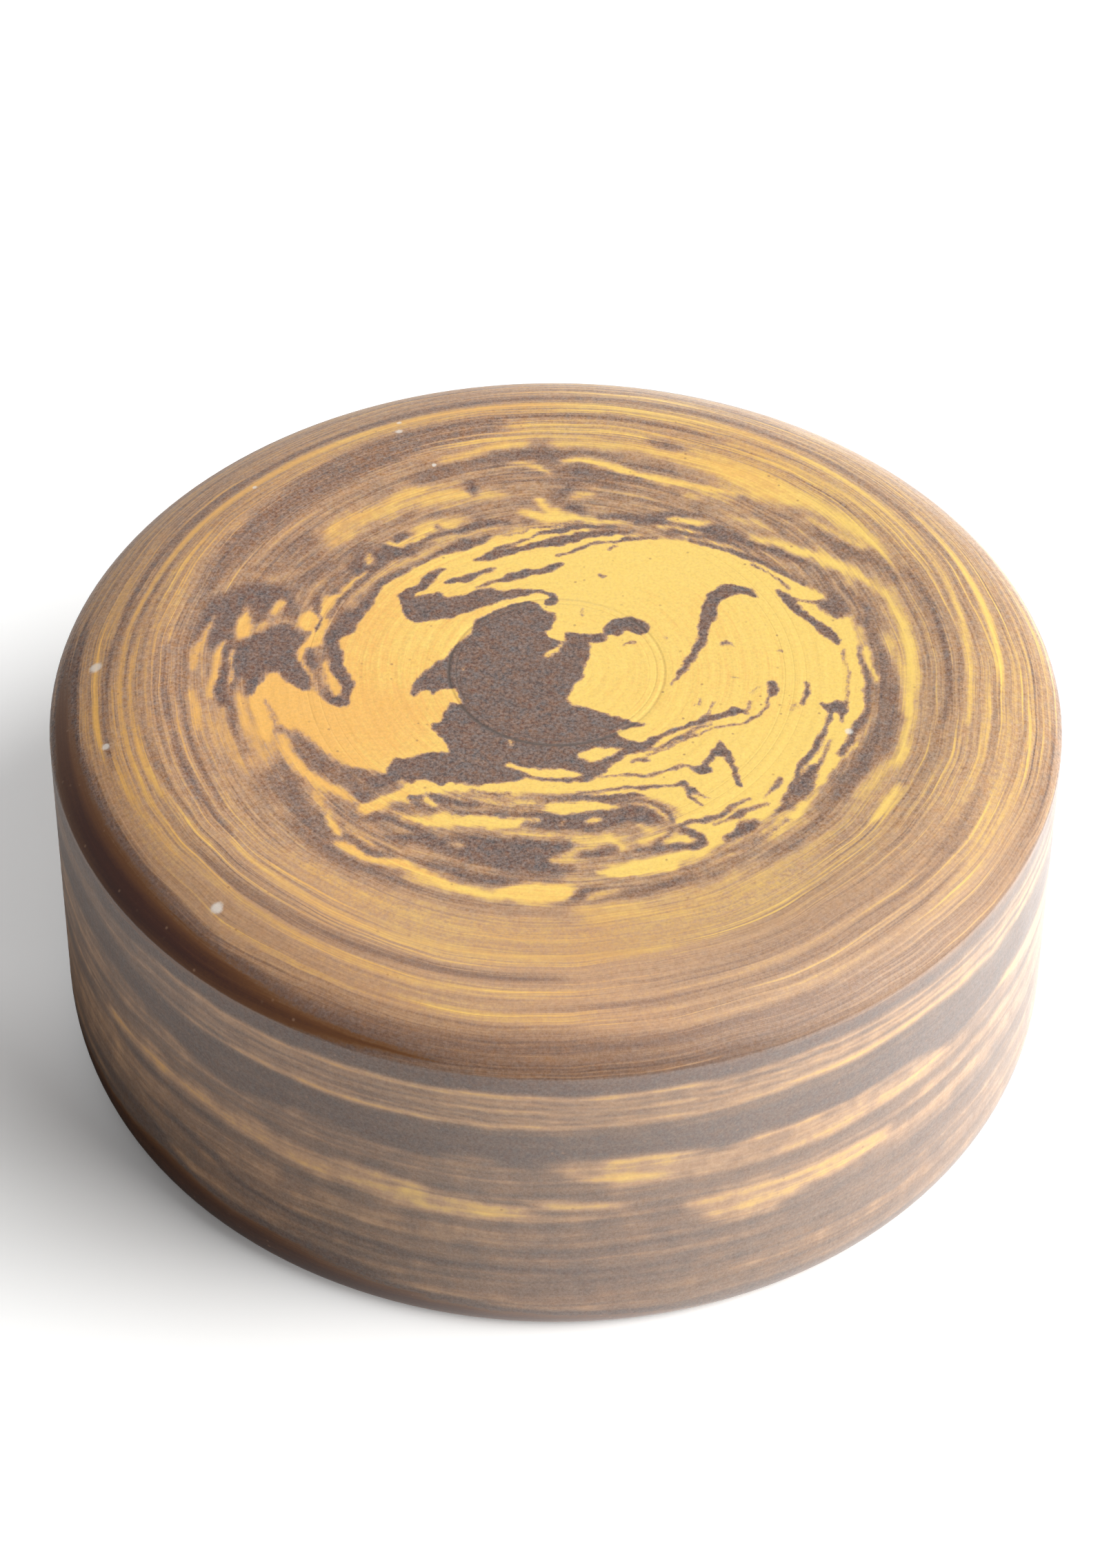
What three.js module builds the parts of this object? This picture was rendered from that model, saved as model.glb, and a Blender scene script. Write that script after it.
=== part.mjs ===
// A round lidded bowl of marbled stoneware, in millimetres with +Z up and the table at Z = 0.
// The bowl is low and straight sided. Its lid is a deep cap with a flat top, which slips down over the whole bowl
// and rests with its roof on the bowl's rim, so that only the lid shows when the two are together.
// Both pieces are turned on a wheel, so each is a closed half section spun about the upright axis.

import * as THREE from "three";

// The lid, outside
const overallHeight = 101; // table to the lid's flat top
const lidRadius = 125; // outside of the wall, just under the shoulder
const lidFlare = 1.1; // how much wider the wall is at its hem
const shoulderRun = 27; // the shoulder starts to fall this far in from the wall
const shoulderDrop = 11; // and meets the wall this far below the top
const shoulderFullness = 1.47; // 1 would be a straight bevel, 2 a quarter of an ellipse
const hemRun = 3.4; // soft turn at the foot of the wall, measured inwards
const hemRise = 10.5; // the same turn, measured upwards
const hemGap = 0.8; // the hem hangs this far above the table

// The lid, inside
const lidWall = 6;
const lidRoof = 10;
const roofFillet = 6; // where the inside of the wall meets the roof
const hemInnerRounding = 1.6;

// The turning groove that the trimming tool left round the middle of the top
const grooveRadius = 26.6;
const grooveWidth = 1.2;
const grooveDepth = 0.4;

// How the two pieces fit
const fitClearance = 1.6; // round the bowl, at the level of the lid's hem
const seatGap = 0.3; // between the rim and the roof that rests on it
const seatInset = 0.2; // the rim stands this far inside the fillet of the lid's roof

// The bowl
const bowlWall = 6;
const floorThickness = 6.5;
const floorFillet = 14;
const rimRounding = 2.8; // on the inner and the outer edge of the rim
const heelRun = 12; // rounded heel under the wall, measured inwards
const heelRise = 14; // the same heel, measured upwards
const footWidth = 14; // flat ring that stands on the table
const footRecess = 2.5; // height of the hollow inside the foot
const footSlope = 3; // the hollow's edge slopes over this length

// How finely the curves are cut
const stepsAround = 96;
const stepsShoulder = 9;
const stepsHem = 4;
const stepsFillet = 5;
const stepsRim = 4;

const lidColour = 0x9a7448;
const bowlColour = 0x8a6a48;

const quarterTurn = Math.PI / 2;

function point(radius, height) {
  return new THREE.Vector2(radius, height);
}

// Points along part of an ellipse. Angle 0 points away from the axis and a quarter turn points up.
function arcPoints(centre, runRadius, riseRadius, fromAngle, toAngle, steps) {
  const points = [];
  for (let i = 0; i <= steps; i += 1) {
    const angle = fromAngle + ((toAngle - fromAngle) * i) / steps;
    points.push(
      point(centre.x + runRadius * Math.cos(angle), centre.y + riseRadius * Math.sin(angle)),
    );
  }
  return points;
}

// The shoulder is a superellipse from the top of the wall to the edge of the flat top.
function shoulderPoints(wallTop) {
  const points = [];
  const power = 2 / shoulderFullness;
  for (let i = 0; i <= stepsShoulder; i += 1) {
    const angle = (quarterTurn * i) / stepsShoulder;
    const across = Math.pow(Math.cos(angle), power);
    const up = Math.pow(Math.sin(angle), power);
    points.push(
      point(wallTop.x - shoulderRun * (1 - across), wallTop.y + shoulderDrop * up),
    );
  }
  return points;
}

function groovePoints(surfaceHeight) {
  return [
    point(grooveRadius + grooveWidth / 2, surfaceHeight),
    point(grooveRadius, surfaceHeight - grooveDepth),
    point(grooveRadius - grooveWidth / 2, surfaceHeight),
  ];
}

function spin(points, name, colour) {
  const geometry = new THREE.LatheGeometry(points, stepsAround);
  geometry.rotateX(quarterTurn); // the section is drawn against Y, and the part stands along Z
  const material = new THREE.MeshStandardMaterial({
    color: colour,
    roughness: 0.5,
    metalness: 0,
  });
  const mesh = new THREE.Mesh(geometry, material);
  mesh.name = name;
  return mesh;
}

// Sizes that both pieces share
const ceilingHeight = overallHeight - lidRoof;
const hemRadius = lidRadius + lidFlare;
const hemInnerRadius = hemRadius - lidWall;
const roofInnerRadius = lidRadius - lidWall;

function makeLid() {
  const wallTop = point(lidRadius, overallHeight - shoulderDrop);
  const hemCentre = point(hemRadius - hemRun, hemGap + hemRise);
  const hemInnerCentre = point(hemInnerRadius + hemInnerRounding, hemGap + hemInnerRounding);
  const filletCentre = point(roofInnerRadius - roofFillet, ceilingHeight - roofFillet);
  const outline = [
    point(0, ceilingHeight),
    ...arcPoints(filletCentre, roofFillet, roofFillet, quarterTurn, 0, stepsFillet),
    ...arcPoints(
      hemInnerCentre,
      hemInnerRounding,
      hemInnerRounding,
      2 * quarterTurn,
      3 * quarterTurn,
      stepsHem,
    ),
    ...arcPoints(hemCentre, hemRun, hemRise, -quarterTurn, 0, stepsHem),
    ...shoulderPoints(wallTop),
    ...groovePoints(overallHeight),
    point(0, overallHeight),
  ];
  return spin(outline, "lid", lidColour);
}

function makeBowl() {
  const heelRadius = hemInnerRadius - fitClearance;
  const edgeRounding = Math.min(rimRounding, bowlWall / 2); // a thin rim is rounded right over
  const edgeHeight = ceilingHeight - seatGap - edgeRounding;
  const outerEdge = point(roofInnerRadius - roofFillet - seatInset, edgeHeight);
  const innerEdge = point(outerEdge.x + 2 * edgeRounding - bowlWall, edgeHeight);
  const heelCentre = point(heelRadius - heelRun, heelRise);
  const footOuterRadius = heelRadius - heelRun;
  const footInnerRadius = footOuterRadius - footWidth;
  const floorHeight = footRecess + floorThickness;
  const floorCentre = point(heelRadius - bowlWall - floorFillet, floorHeight + floorFillet);
  const outline = [
    point(0, footRecess),
    point(footInnerRadius - footSlope, footRecess),
    point(footInnerRadius, 0),
    ...arcPoints(heelCentre, heelRun, heelRise, -quarterTurn, 0, stepsFillet),
    ...arcPoints(outerEdge, edgeRounding, edgeRounding, 0, quarterTurn, stepsRim),
    ...arcPoints(innerEdge, edgeRounding, edgeRounding, quarterTurn, 2 * quarterTurn, stepsRim),
    ...arcPoints(floorCentre, floorFillet, floorFillet, 0, -quarterTurn, stepsFillet),
    point(0, floorHeight),
  ];
  return spin(outline, "bowl", bowlColour);
}

const liddedBowl = new THREE.Group();
liddedBowl.name = "lidded_bowl";
liddedBowl.add(makeBowl());
liddedBowl.add(makeLid());

export default liddedBowl;
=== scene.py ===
import bpy
import math
import numpy as np
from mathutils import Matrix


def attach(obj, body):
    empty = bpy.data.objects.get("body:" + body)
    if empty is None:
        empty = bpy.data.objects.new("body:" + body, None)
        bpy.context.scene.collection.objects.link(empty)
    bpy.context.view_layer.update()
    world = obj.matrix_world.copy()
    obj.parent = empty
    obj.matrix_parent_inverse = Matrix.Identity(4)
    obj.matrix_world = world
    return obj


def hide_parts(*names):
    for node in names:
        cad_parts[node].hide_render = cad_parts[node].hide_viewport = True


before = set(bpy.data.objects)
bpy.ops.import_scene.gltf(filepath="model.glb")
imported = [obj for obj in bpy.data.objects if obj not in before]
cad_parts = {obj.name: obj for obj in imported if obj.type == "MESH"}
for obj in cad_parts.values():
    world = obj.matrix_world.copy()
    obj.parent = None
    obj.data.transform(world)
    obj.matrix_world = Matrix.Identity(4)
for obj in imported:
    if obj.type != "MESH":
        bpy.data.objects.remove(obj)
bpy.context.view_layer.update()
print("frame loaded with", sorted(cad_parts))

# Everything below is worked out in millimetres, and becomes metres when a mesh is made
millimetre = 0.001

# Points round a ring, and round one that shows little
pointsRound = 160
fewRound = 80


# Sections and spun meshes

def rise(value, start, end):
    # 0 up to the start, 1 from the end on, and straight between them; the end may lie before the start
    return np.clip((value - start) / (end - start), 0, 1)


def arc(centreX, centreZ, run, height, fromDegrees, toDegrees, steps):
    # an ellipse's arc: centre plus run times the cosine and height times the sine of the angle
    angle = np.radians(np.linspace(fromDegrees, toDegrees, steps + 1))
    return np.column_stack([centreX + run * np.cos(angle), centreZ + height * np.sin(angle)])


def line(fromPoint, toPoint, steps):
    # straight blend from one point to the other
    share = np.linspace(0, 1, steps + 1)[:, None]
    return np.array(fromPoint) * (1 - share) + np.array(toPoint) * share


def joinStretches(stretches):
    # the stretches end to end, without the point that two neighbours share, and the points round at each;
    # both ends of a section lie on the axis, where one point is enough
    section = np.concatenate([stretches[0][0]] + [points[1:] for points, count in stretches[1:]])
    counts = [[stretches[0][1]]] + [np.full(len(points) - 1, count) for points, count in stretches]
    counts = np.concatenate(counts)
    counts[0] = 1
    counts[-1] = 1
    return section, counts


def sectionLength(section):
    # running length along the section, from its first point
    steps = np.hypot(*np.diff(section, axis=0).T)
    return np.concatenate([[0], np.cumsum(steps)])


def sectionNormals(section):
    # the section's direction turned a quarter turn, which points out of the clay
    along = np.gradient(section, axis=0)
    along /= np.linalg.norm(along, axis=1)[:, None] + 1e-12
    return np.column_stack([-along[:, 1], along[:, 0]])


def spinMesh(name, section, counts, relief):
    # each ring is the section's radius times the cosine and sine of the turn, at the section's height;
    # neighbouring rings have the same number of points, or one has twice the other's, or one is the pole
    lengths = sectionLength(section)
    normals = sectionNormals(section)
    starts = np.concatenate([[0], np.cumsum(counts)])
    ring = np.repeat(np.arange(len(counts)), counts)
    turn = 2 * math.pi * (np.arange(starts[-1]) - starts[ring]) / counts[ring]
    lift = relief(lengths[ring], turn)
    radius = section[ring, 0] + normals[ring, 0] * lift
    height = section[ring, 1] + normals[ring, 1] * lift
    radius = np.where(counts[ring] == 1, 0, radius)
    points = np.column_stack([radius * np.cos(turn), radius * np.sin(turn), height]) * millimetre

    quads = []
    triangles = []
    for a, b, inner, outer in zip(starts, starts[1:], counts, counts[1:]):
        coarse, fine = sorted((inner, outer))
        step = np.arange(fine if coarse == 1 else coarse)
        after = (step + 1) % len(step)
        middle, last = 2 * step + 1, (2 * step + 2) % fine
        if inner == outer:
            quads.append((a + step, b + step, b + after, a + after))
        elif inner == 1:
            triangles.append((a + 0 * step, b + step, b + after))
        elif outer == 1:
            triangles.append((a + step, b + 0 * step, a + after))
        elif outer > inner:
            triangles.append((a + step, b + 2 * step, b + middle))
            triangles.append((a + step, b + middle, a + after))
            triangles.append((a + after, b + middle, b + last))
        else:
            triangles.append((a + 2 * step, b + step, a + middle))
            triangles.append((a + middle, b + step, b + after))
            triangles.append((a + middle, b + after, a + last))

    faces = []
    for kind in (quads, triangles):
        faces += np.concatenate([np.column_stack(corners) for corners in kind]).tolist()
    mesh = bpy.data.meshes.new(name)
    mesh.from_pydata(points.tolist(), [], faces)
    mesh.shade_smooth()
    mesh.update()
    piece = bpy.data.objects.new(name, mesh)
    bpy.context.collection.objects.link(piece)
    return piece, points / millimetre, lengths[ring], turn


def writeAttributes(piece, **attributes):
    # one number for each point of the mesh, which the material reads by its name
    for name, values in attributes.items():
        attribute = piece.data.attributes.new(name, "FLOAT", "POINT")
        attribute.data.foreach_set("value", values.astype(np.float32))


# Painting one clay into the other

laying = {
    "reach": 6,  # a drawn shape's softened edge ends within this distance of it
    "swell": 0.05,  # added to the depth inside each drawn shape
    "softScale": 2.2, "softLeast": 0.45,  # how wide an edge is for the softness in the drawing
    "mottleScale": 0.14, "mottleLeast": 0.04,  # how mottled its clay is for the same softness
    "taper": 6,  # an open streak loses this much half width over as many degrees at each end
    "ringSoftLeast": 1.8,
    "far": 99.0,  # farther than any shape reaches
}


def smoothCurve(points, closed, perSpan):
    # a cubic curve through the points, in all their columns, whose slope at each comes from its neighbours
    p = np.array(points, float)
    count = len(p)
    spans = np.arange(count if closed else count - 1)

    def pick(k):
        return p[k % count] if closed else p[np.clip(k, 0, count - 1)]

    a, b, c, d = (pick(spans + k)[:, None] for k in (-1, 0, 1, 2))
    t = np.linspace(0, 1, perSpan, endpoint=False)[None, :, None]
    curve = b + 0.5 * t * (c - a + t * (2 * a - 5 * b + 4 * c - d + t * (3 * (b - c) + d - a)))
    curve = curve.reshape(-1, p.shape[1])
    return curve if closed else np.concatenate([curve, p[-1:]])


def spanDistance(x, y, start, end):
    # share along the span of the nearest point, held between its ends, and the distance to it
    dx, dy = end[0] - start[0], end[1] - start[1]
    share = np.clip(((x - start[0]) * dx + (y - start[1]) * dy) / (dx * dx + dy * dy + 1e-12), 0, 1)
    return share, np.hypot(x - start[0] - share * dx, y - start[1] - share * dy)


def threadDepth(x, y, points):
    # half width at the nearest point of the curve, less the distance to it
    curve = smoothCurve(points, False, 4)
    depth = np.full(x.shape, -laying["far"])
    for start, end in zip(curve[:-1], curve[1:]):
        share, distance = spanDistance(x, y, start, end)
        depth = np.maximum(depth, start[2] + share * (end[2] - start[2]) - distance)
    return depth


def fieldDepth(x, y, points):
    # distance to the closed outline, positive inside it, by counting the crossings to one side
    curve = smoothCurve(points, True, 3)
    distance = np.full(x.shape, laying["far"])
    inside = np.zeros(x.shape, bool)
    for start, end in zip(curve, np.roll(curve, -1, axis=0)):
        distance = np.minimum(distance, spanDistance(x, y, start, end)[1])
        climb = end[1] - start[1]
        if climb != 0:
            crossing = (start[1] > y) != (end[1] > y)
            inside ^= crossing & (x < start[0] + (y - start[1]) * (end[0] - start[0]) / climb)
    return np.where(inside, distance, -distance)


def ringDepth(azimuth, along, points):
    # a streak round the piece: half width less the distance along the section, and an open streak's
    # half width shrinks by a square towards its ends
    curve = smoothCurve(points, False, 6)
    begins, ends = curve[0, 0], curve[-1, 0]
    turned = begins + np.mod(azimuth - begins, 360)
    middle = np.interp(turned, curve[:, 0], curve[:, 1])
    half = np.interp(turned, curve[:, 0], curve[:, 2])
    if ends - begins < 359:
        taper = laying["taper"]
        half = half - taper * np.clip(1 - np.minimum(turned - begins, ends - turned) / taper, 0, 1) ** 2
    return np.where(turned <= ends, half - np.abs(along - middle), -laying["far"])


def layClay(state, depth, tone, soft, mottle):
    # state moves towards the tone by a share that rises from 0 to 1 across the softened edge
    share = np.clip(0.5 + depth / soft, 0, 1)
    state["clay"] += (tone - state["clay"]) * share
    state["mottle"] += (mottle - state["mottle"]) * share


def layOnTop(state, x, y, shapes, depthOf):
    # each drawn shape is laid over what is there, and only the points near it are worked out
    for tone, soft, points in shapes:
        outline = np.array([point[:2] for point in points])
        low, high = outline.min(axis=0) - laying["reach"], outline.max(axis=0) + laying["reach"]
        near = (x > low[0]) & (x < high[0]) & (y > low[1]) & (y < high[1])
        part = {name: values[near] for name, values in state.items()}
        depth = depthOf(x[near], y[near], points) + laying["swell"]
        edge = laying["softScale"] * soft + laying["softLeast"]
        layClay(part, depth, tone, edge, laying["mottleLeast"] + laying["mottleScale"] * soft)
        for name in state:
            state[name][near] = part[name]


# Tones of clay: 0 is the ochre, 1 is the dark clay, between them is a mix, and past 1 is painted shade in a
# dark rust brown
dark = 1.0
ochre = 0.0

# Churned zones of the top, where the two are kneaded finely: tone, softness, mottle, outline in X and Y
mixedZones = [
    (.62, 9, .42, [(-87, 20), (-84, 34), (-76, 46), (-66, 56), (-54, 66), (-42, 72), (-34, 74), (-38, 66),
     (-50, 58), (-58, 48), (-50, 44), (-40, 42), (-46, 32), (-56, 24), (-60, 12), (-72, -6), (-84, -4)]),
    (.56, 8, .45, [(-44, 60), (-36, 74), (-24, 81), (-8, 86), (10, 84), (26, 80), (40, 73), (52, 66),
     (66, 61), (76, 48), (80, 38), (72, 34), (58, 44), (40, 54), (20, 57), (0, 56), (-20, 54), (-36, 52)]),
    (.5, 6, .42, [(-38, -46), (-20, -42), (4, -42), (24, -46), (38, -50), (44, -56), (30, -62), (14, -70),
     (-4, -71), (-22, -67), (-40, -60), (-50, -52)]),
    (.62, 6, .34, [(-64, -24), (-56, -32), (-46, -38), (-38, -41), (-42, -50), (-50, -58), (-44, -66),
     (-30, -72), (-36, -76), (-52, -70), (-62, -58), (-68, -42)]),
    (.3, 5, .4, [(76, 10), (90, 10), (88, -20), (78, -44), (60, -66), (36, -84), (10, -90), (8, -78),
     (30, -71), (50, -58), (64, -42), (73, -20)]),
    (.36, 5, .4, [(72, 34), (75, 22), (76, 0), (74, -18), (66, -36), (56, -52), (62, -54), (74, -40),
     (84, -20), (87, 4), (84, 26), (78, 38)]),
    (.66, 5, .45, [(-87, 14), (-86, 26), (-80, 34), (-72, 37), (-64, 37), (-57, 42), (-51, 47), (-46, 46),
     (-50, 38), (-54, 31), (-60, 26), (-64, 22), (-70, 19), (-76, 20), (-81, 14)]),
    (.3, 4, .34, [(-76, -9), (-82, -11), (-87, -18), (-86, -27), (-80, -33), (-74, -36), (-68, -32),
     (-66, -26), (-70, -20), (-73, -14)]),
    (.26, 2.5, .4, [(73, 34), (78, 30), (81, 24), (79, 16), (76.5, 12), (75, 20), (72.5, 28)]),
]

# Wide shapes of the top, each a closed outline: tone, softness of the edge, points in X and Y
clayFields = [
    # the wide ochre field that fills the middle
    (ochre, .7, [(-54, 9), (-53.3, 5.5), (-52.3, 1.5), (-51, -2), (-49.8, -5), (-50.2, -9), (-51.5, -13),
     (-55.5, -12.5), (-58.5, -8.5), (-60.5, -7.8), (-64, -6), (-67, -3.8), (-69, -1.5), (-71.5, -3),
     (-73, -5.5), (-74.5, -9.5), (-74, -14), (-72.5, -19), (-71, -24), (-69.5, -25), (-68, -21.5),
     (-66, -21), (-62.5, -24), (-60, -26), (-57, -29.5), (-54, -32.3), (-51, -34.2), (-47, -34.5),
     (-44, -35.5), (-41, -37), (-36, -40), (-38, -43), (-42, -45.5), (-47, -47.5), (-46, -50),
     (-40, -50.5), (-34, -53), (-30, -55), (-22, -54), (-15, -54.8), (-8, -54), (-4, -51), (5, -50),
     (15, -48.8), (22, -48), (26, -51), (28, -53.5), (31, -54), (35, -57), (35, -60.5), (30, -62.5),
     (24, -64), (18, -66.5), (10, -69.3), (14, -70.5), (20, -70.3), (26, -68.7), (32, -67), (38, -64.8),
     (43, -62.5), (48, -60), (54, -55), (58, -50), (60, -46), (62, -42), (66, -37), (70, -32), (73, -26),
     (73.5, -18), (75.3, -12), (75.6, -5), (75, 3), (74.5, 10), (74, 17), (73, 21), (71, 25.5), (67, 28.5),
     (63, 31.5), (58, 35.5), (52, 40), (44, 44.5), (36, 48), (30, 49), (22, 50.3), (12, 52), (3, 54.8),
     (-3, 54.5), (-10, 52), (-16, 49), (-21, 46), (-26, 44), (-30, 42), (-35, 38.5), (-40, 34.5),
     (-45, 30.5), (-45.3, 28), (-46.8, 24), (-48.3, 20), (-49.8, 16.5), (-50.2, 14), (-52.2, 12),
     (-54, 11)]),
    # the dark heart in the middle
    (dark, .6, [(-8, 25.2), (-5, 24.2), (-3.5, 22.3), (-.8, 21), (-.5, 18.5), (-1.2, 15.5), (-2, 12.8),
     (-.8, 11.3), (1.5, 12), (2.5, 13.8), (5, 13.5), (8, 13), (10.5, 13.3), (12, 12), (11.5, 10.8),
     (9, 10.3), (8, 9.5), (8.2, 6), (7.8, 4), (7, 2), (6.8, -1), (5.5, -3.5), (3.8, -5.8), (3, -8),
     (3.2, -10.5), (5, -12.6), (8.5, -14.2), (12, -15.3), (15, -17), (18, -18), (22, -18.6), (19.5, -19.8),
     (16, -21), (14.5, -22.5), (16, -24.3), (18.5, -25.4), (22, -24.8), (24.5, -23.7), (24, -25.5),
     (21, -28), (17, -30), (14, -32.5), (11, -34.5), (7.5, -36.5), (5, -35.8), (2, -34.7), (-1, -34.5),
     (-5, -34.6), (-8, -34), (-11, -32.5), (-12, -33.5), (-9, -35.7), (-7, -37), (-10, -39.2),
     (-14, -39.3), (-17, -40), (-19, -41), (-22, -39.8), (-25, -39.3), (-27.5, -40.3), (-29, -39.3),
     (-31.5, -38.7), (-33.5, -39), (-34.5, -40.5), (-36, -39), (-37, -38.3), (-39, -39.5), (-42, -41.5),
     (-44, -44), (-46, -46), (-47, -43.5), (-45, -39), (-42, -37.5), (-40.5, -36.5), (-40, -34.5),
     (-38.5, -32), (-35, -31), (-32, -29.8), (-29, -29.3), (-25.5, -29.5), (-26.5, -26), (-28.5, -22.5),
     (-30, -19.8), (-28, -18.5), (-27, -15), (-26, -12.3), (-23.4, -12), (-23.8, -9.5), (-24.5, -6.8),
     (-27, -7), (-29, -7.8), (-30, -9), (-31, -7.8), (-33, -7.4), (-35, -9.3), (-35.6, -7), (-34.5, -4),
     (-32, -1), (-29.5, 2), (-26.8, 4.8), (-25.3, 7.5), (-23.8, 10.7), (-21.5, 13), (-20.2, 15.5),
     (-20.3, 18), (-17, 20.5), (-13.5, 23), (-11, 24.5)]),
    # an ochre islet in its tail
    (ochre, .7, [(5, -30), (7.5, -28.2), (10, -27.3), (16, -27.5), (13, -30), (10, -32.4), (7, -31.8)]),
    # the island to the right of the middle
    (dark, .6, [(11.8, 15), (12.5, 16.5), (13.5, 18), (15, 18.8), (17, 19.5), (19, 19.8), (21, 18.8),
     (22.5, 17.5), (23, 15.5), (22, 14), (20.5, 13), (19, 14), (17, 14.5), (15.5, 13), (14, 13.2),
     (12.5, 13.8)]),
    # the fish above the heart
    (dark, .6, [(-38.5, 28.5), (-37, 29.8), (-36, 28.5), (-35.5, 26.8), (-34, 27.3), (-32, 28.3),
     (-31, 27.5), (-30, 28.6), (-28.5, 28.3), (-27.8, 26.5), (-25, 27), (-22, 28.5), (-20, 29.5),
     (-17, 30.2), (-14, 29), (-11.5, 30), (-9, 30.4), (-7.5, 29.8), (-7, 28), (-9, 27.3), (-11, 26.8),
     (-14, 25.5), (-16.5, 24), (-19.5, 22.5), (-22, 21.5), (-25, 20), (-28, 19), (-31, 18.2), (-34, 17.3),
     (-35.5, 17.2), (-37, 18.5), (-38.5, 20.5), (-38.8, 22.5), (-39, 25), (-39.3, 27)]),
    # the dark hook at the left of the field
    (dark, .7, [(-45.2, 27.8), (-46.5, 24), (-48, 20.5), (-49.5, 17), (-50, 14), (-52, 12), (-53.8, 11),
     (-54.2, 8), (-53, 5), (-52.5, 2), (-51.5, -1), (-50.5, -3.5), (-49.5, -5.5), (-50, -8), (-50.3, -11),
     (-51, -13.5), (-53, -13.2), (-55, -11.5), (-56.3, -9.5), (-56.5, -7), (-55, -8.5), (-53.5, -10),
     (-52.6, -9.5), (-53, -7), (-54.5, -4), (-55.5, -1), (-55.8, 3), (-56.5, 6), (-57, 9), (-57.5, 12),
     (-56, 14.5), (-54.5, 17), (-53.5, 20), (-51, 21.5), (-49, 23.5), (-47.5, 26)]),
    # the mass of dark clay at the far left
    (dark, .9, [(-79, 9.5), (-76, 10.5), (-74.5, 12.5), (-72, 14), (-69.5, 15), (-67, 15.5), (-65, 14.5),
     (-64, 12.5), (-62, 10.5), (-61.8, 9.3), (-63.3, 8.5), (-63.8, 5), (-63, 1.5), (-61.5, -1.5),
     (-60.3, -4), (-61, -7.5), (-63, -6.3), (-65.5, -4.3), (-67.5, -2), (-69, -.5), (-72.5, -1), (-73, -4),
     (-74, -8), (-75.3, -9), (-76, -5), (-77, -3), (-78.5, -3.5), (-79, -7), (-80, -3), (-80, 3),
     (-80, 7)]),
    (.96, 1.4, [(-87, 22), (-85.5, 25.5), (-82, 28), (-79, 30.5), (-75, 30), (-71, 30.5), (-68, 28.5),
     (-69, 26), (-71, 24), (-72.5, 22), (-74.5, 21.3), (-76, 22.5), (-77, 25), (-78.3, 23.5), (-79, 20),
     (-79.5, 16), (-81, 14), (-81.5, 10), (-82.5, 7), (-84, 8), (-86, 8), (-87.5, 10), (-88, 14),
     (-87.8, 18)]),
    (ochre, .8, [(-77.8, 22.5), (-77.2, 20), (-76.6, 17), (-75.8, 14.5), (-76.3, 12.5), (-77.2, 11.4),
     (-79, 11.4), (-79.4, 14), (-78.9, 17), (-78.4, 20)]),
    (ochre, .7, [(-61.5, 23), (-63, 20), (-64, 17), (-63, 14.5), (-61.2, 13.6), (-61.5, 11.5), (-63.3, 8),
     (-63.5, 5), (-62.7, 2), (-61.3, -1), (-60, -3.5), (-59, -6), (-58.5, -8), (-59, -5), (-60.3, -2.5),
     (-61.5, 1), (-62.3, 4.5), (-61.5, 7.3), (-59.8, 8.5), (-58.5, 10.5), (-57.8, 12.5), (-57, 15),
     (-57, 18), (-58, 20), (-57.5, 22), (-56, 25), (-55, 27), (-57, 27), (-58, 26.5), (-58.8, 24),
     (-59, 22.5), (-60, 20.2), (-60.8, 21.5)]),
    # ochre at the upper left
    (.16, 2.4, [(-60, 52), (-56, 56.5), (-50, 61.5), (-44, 65.5), (-38, 68.8), (-32, 70), (-27, 70),
     (-22, 69.5), (-17, 68), (-14, 66.3), (-18, 65), (-24, 63.5), (-30, 62), (-36, 61.3), (-42, 59),
     (-47, 56), (-49, 53), (-51, 50), (-53.5, 47.5), (-56.5, 45.5), (-57.5, 47), (-58.5, 50)]),
    (.14, 1.9, [(-43, 47.3), (-41, 46), (-39, 46), (-37, 47.8), (-34, 49.8), (-30, 51), (-26, 52),
     (-24, 53.5), (-23, 56.5), (-26, 57.5), (-30, 56.5), (-34, 55.7), (-37, 54), (-38, 51), (-40, 48)]),
    (.9, .9, [(-49.5, 44), (-46, 45), (-43.5, 46), (-42, 44.5), (-37, 44.5), (-36, 43.5), (-40, 41.8),
     (-43, 40), (-46, 37), (-49.5, 34), (-52, 32), (-53, 33), (-51, 36), (-52.5, 39), (-51, 42)]),
    # dark lenses at the front of the field
    (dark, .8, [(-34.5, -44.5), (-32, -44), (-29, -43.7), (-25, -45), (-20, -46.2), (-17.5, -47.7),
     (-21, -47.6), (-26, -47.3), (-28.5, -47.5), (-30, -46.5)]),
    (.95, .9, [(-8, -53.8), (-4, -51), (2, -50), (8, -49.5), (13, -48.5), (15, -47), (18, -47), (22, -48),
     (24.5, -49.8), (25, -52), (22, -52.8), (17, -53), (13, -54.3), (8, -55.3), (2, -55.6), (-3, -55.3)]),
    (.97, 1.2, [(-38, -57.5), (-28, -57.8), (-20, -58), (-12, -58.3), (-4, -58.8), (2, -59), (5, -61),
     (1, -63.5), (-1, -65), (0, -67), (4, -68.5), (0, -69.8), (-6, -69), (-12, -68.5), (-18, -66.5),
     (-24, -63.5), (-30, -61), (-38, -58.5)]),
    # the bright crescent at the front
    (.02, 1, [(-36, -66.8), (-32, -68.3), (-30, -69), (-28.5, -71), (-25, -72.7), (-20, -74.5),
     (-15, -75.8), (-13, -74.5), (-9, -73.3), (-4, -73), (1, -73), (4, -74.5), (4.5, -76.5), (3, -78.3),
     (-2, -79.3), (-8, -79), (-14, -78), (-20, -77), (-25, -75.3), (-29, -73), (-32, -70.5), (-35, -68.5)]),
    # a brown blob at the right of the field
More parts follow.
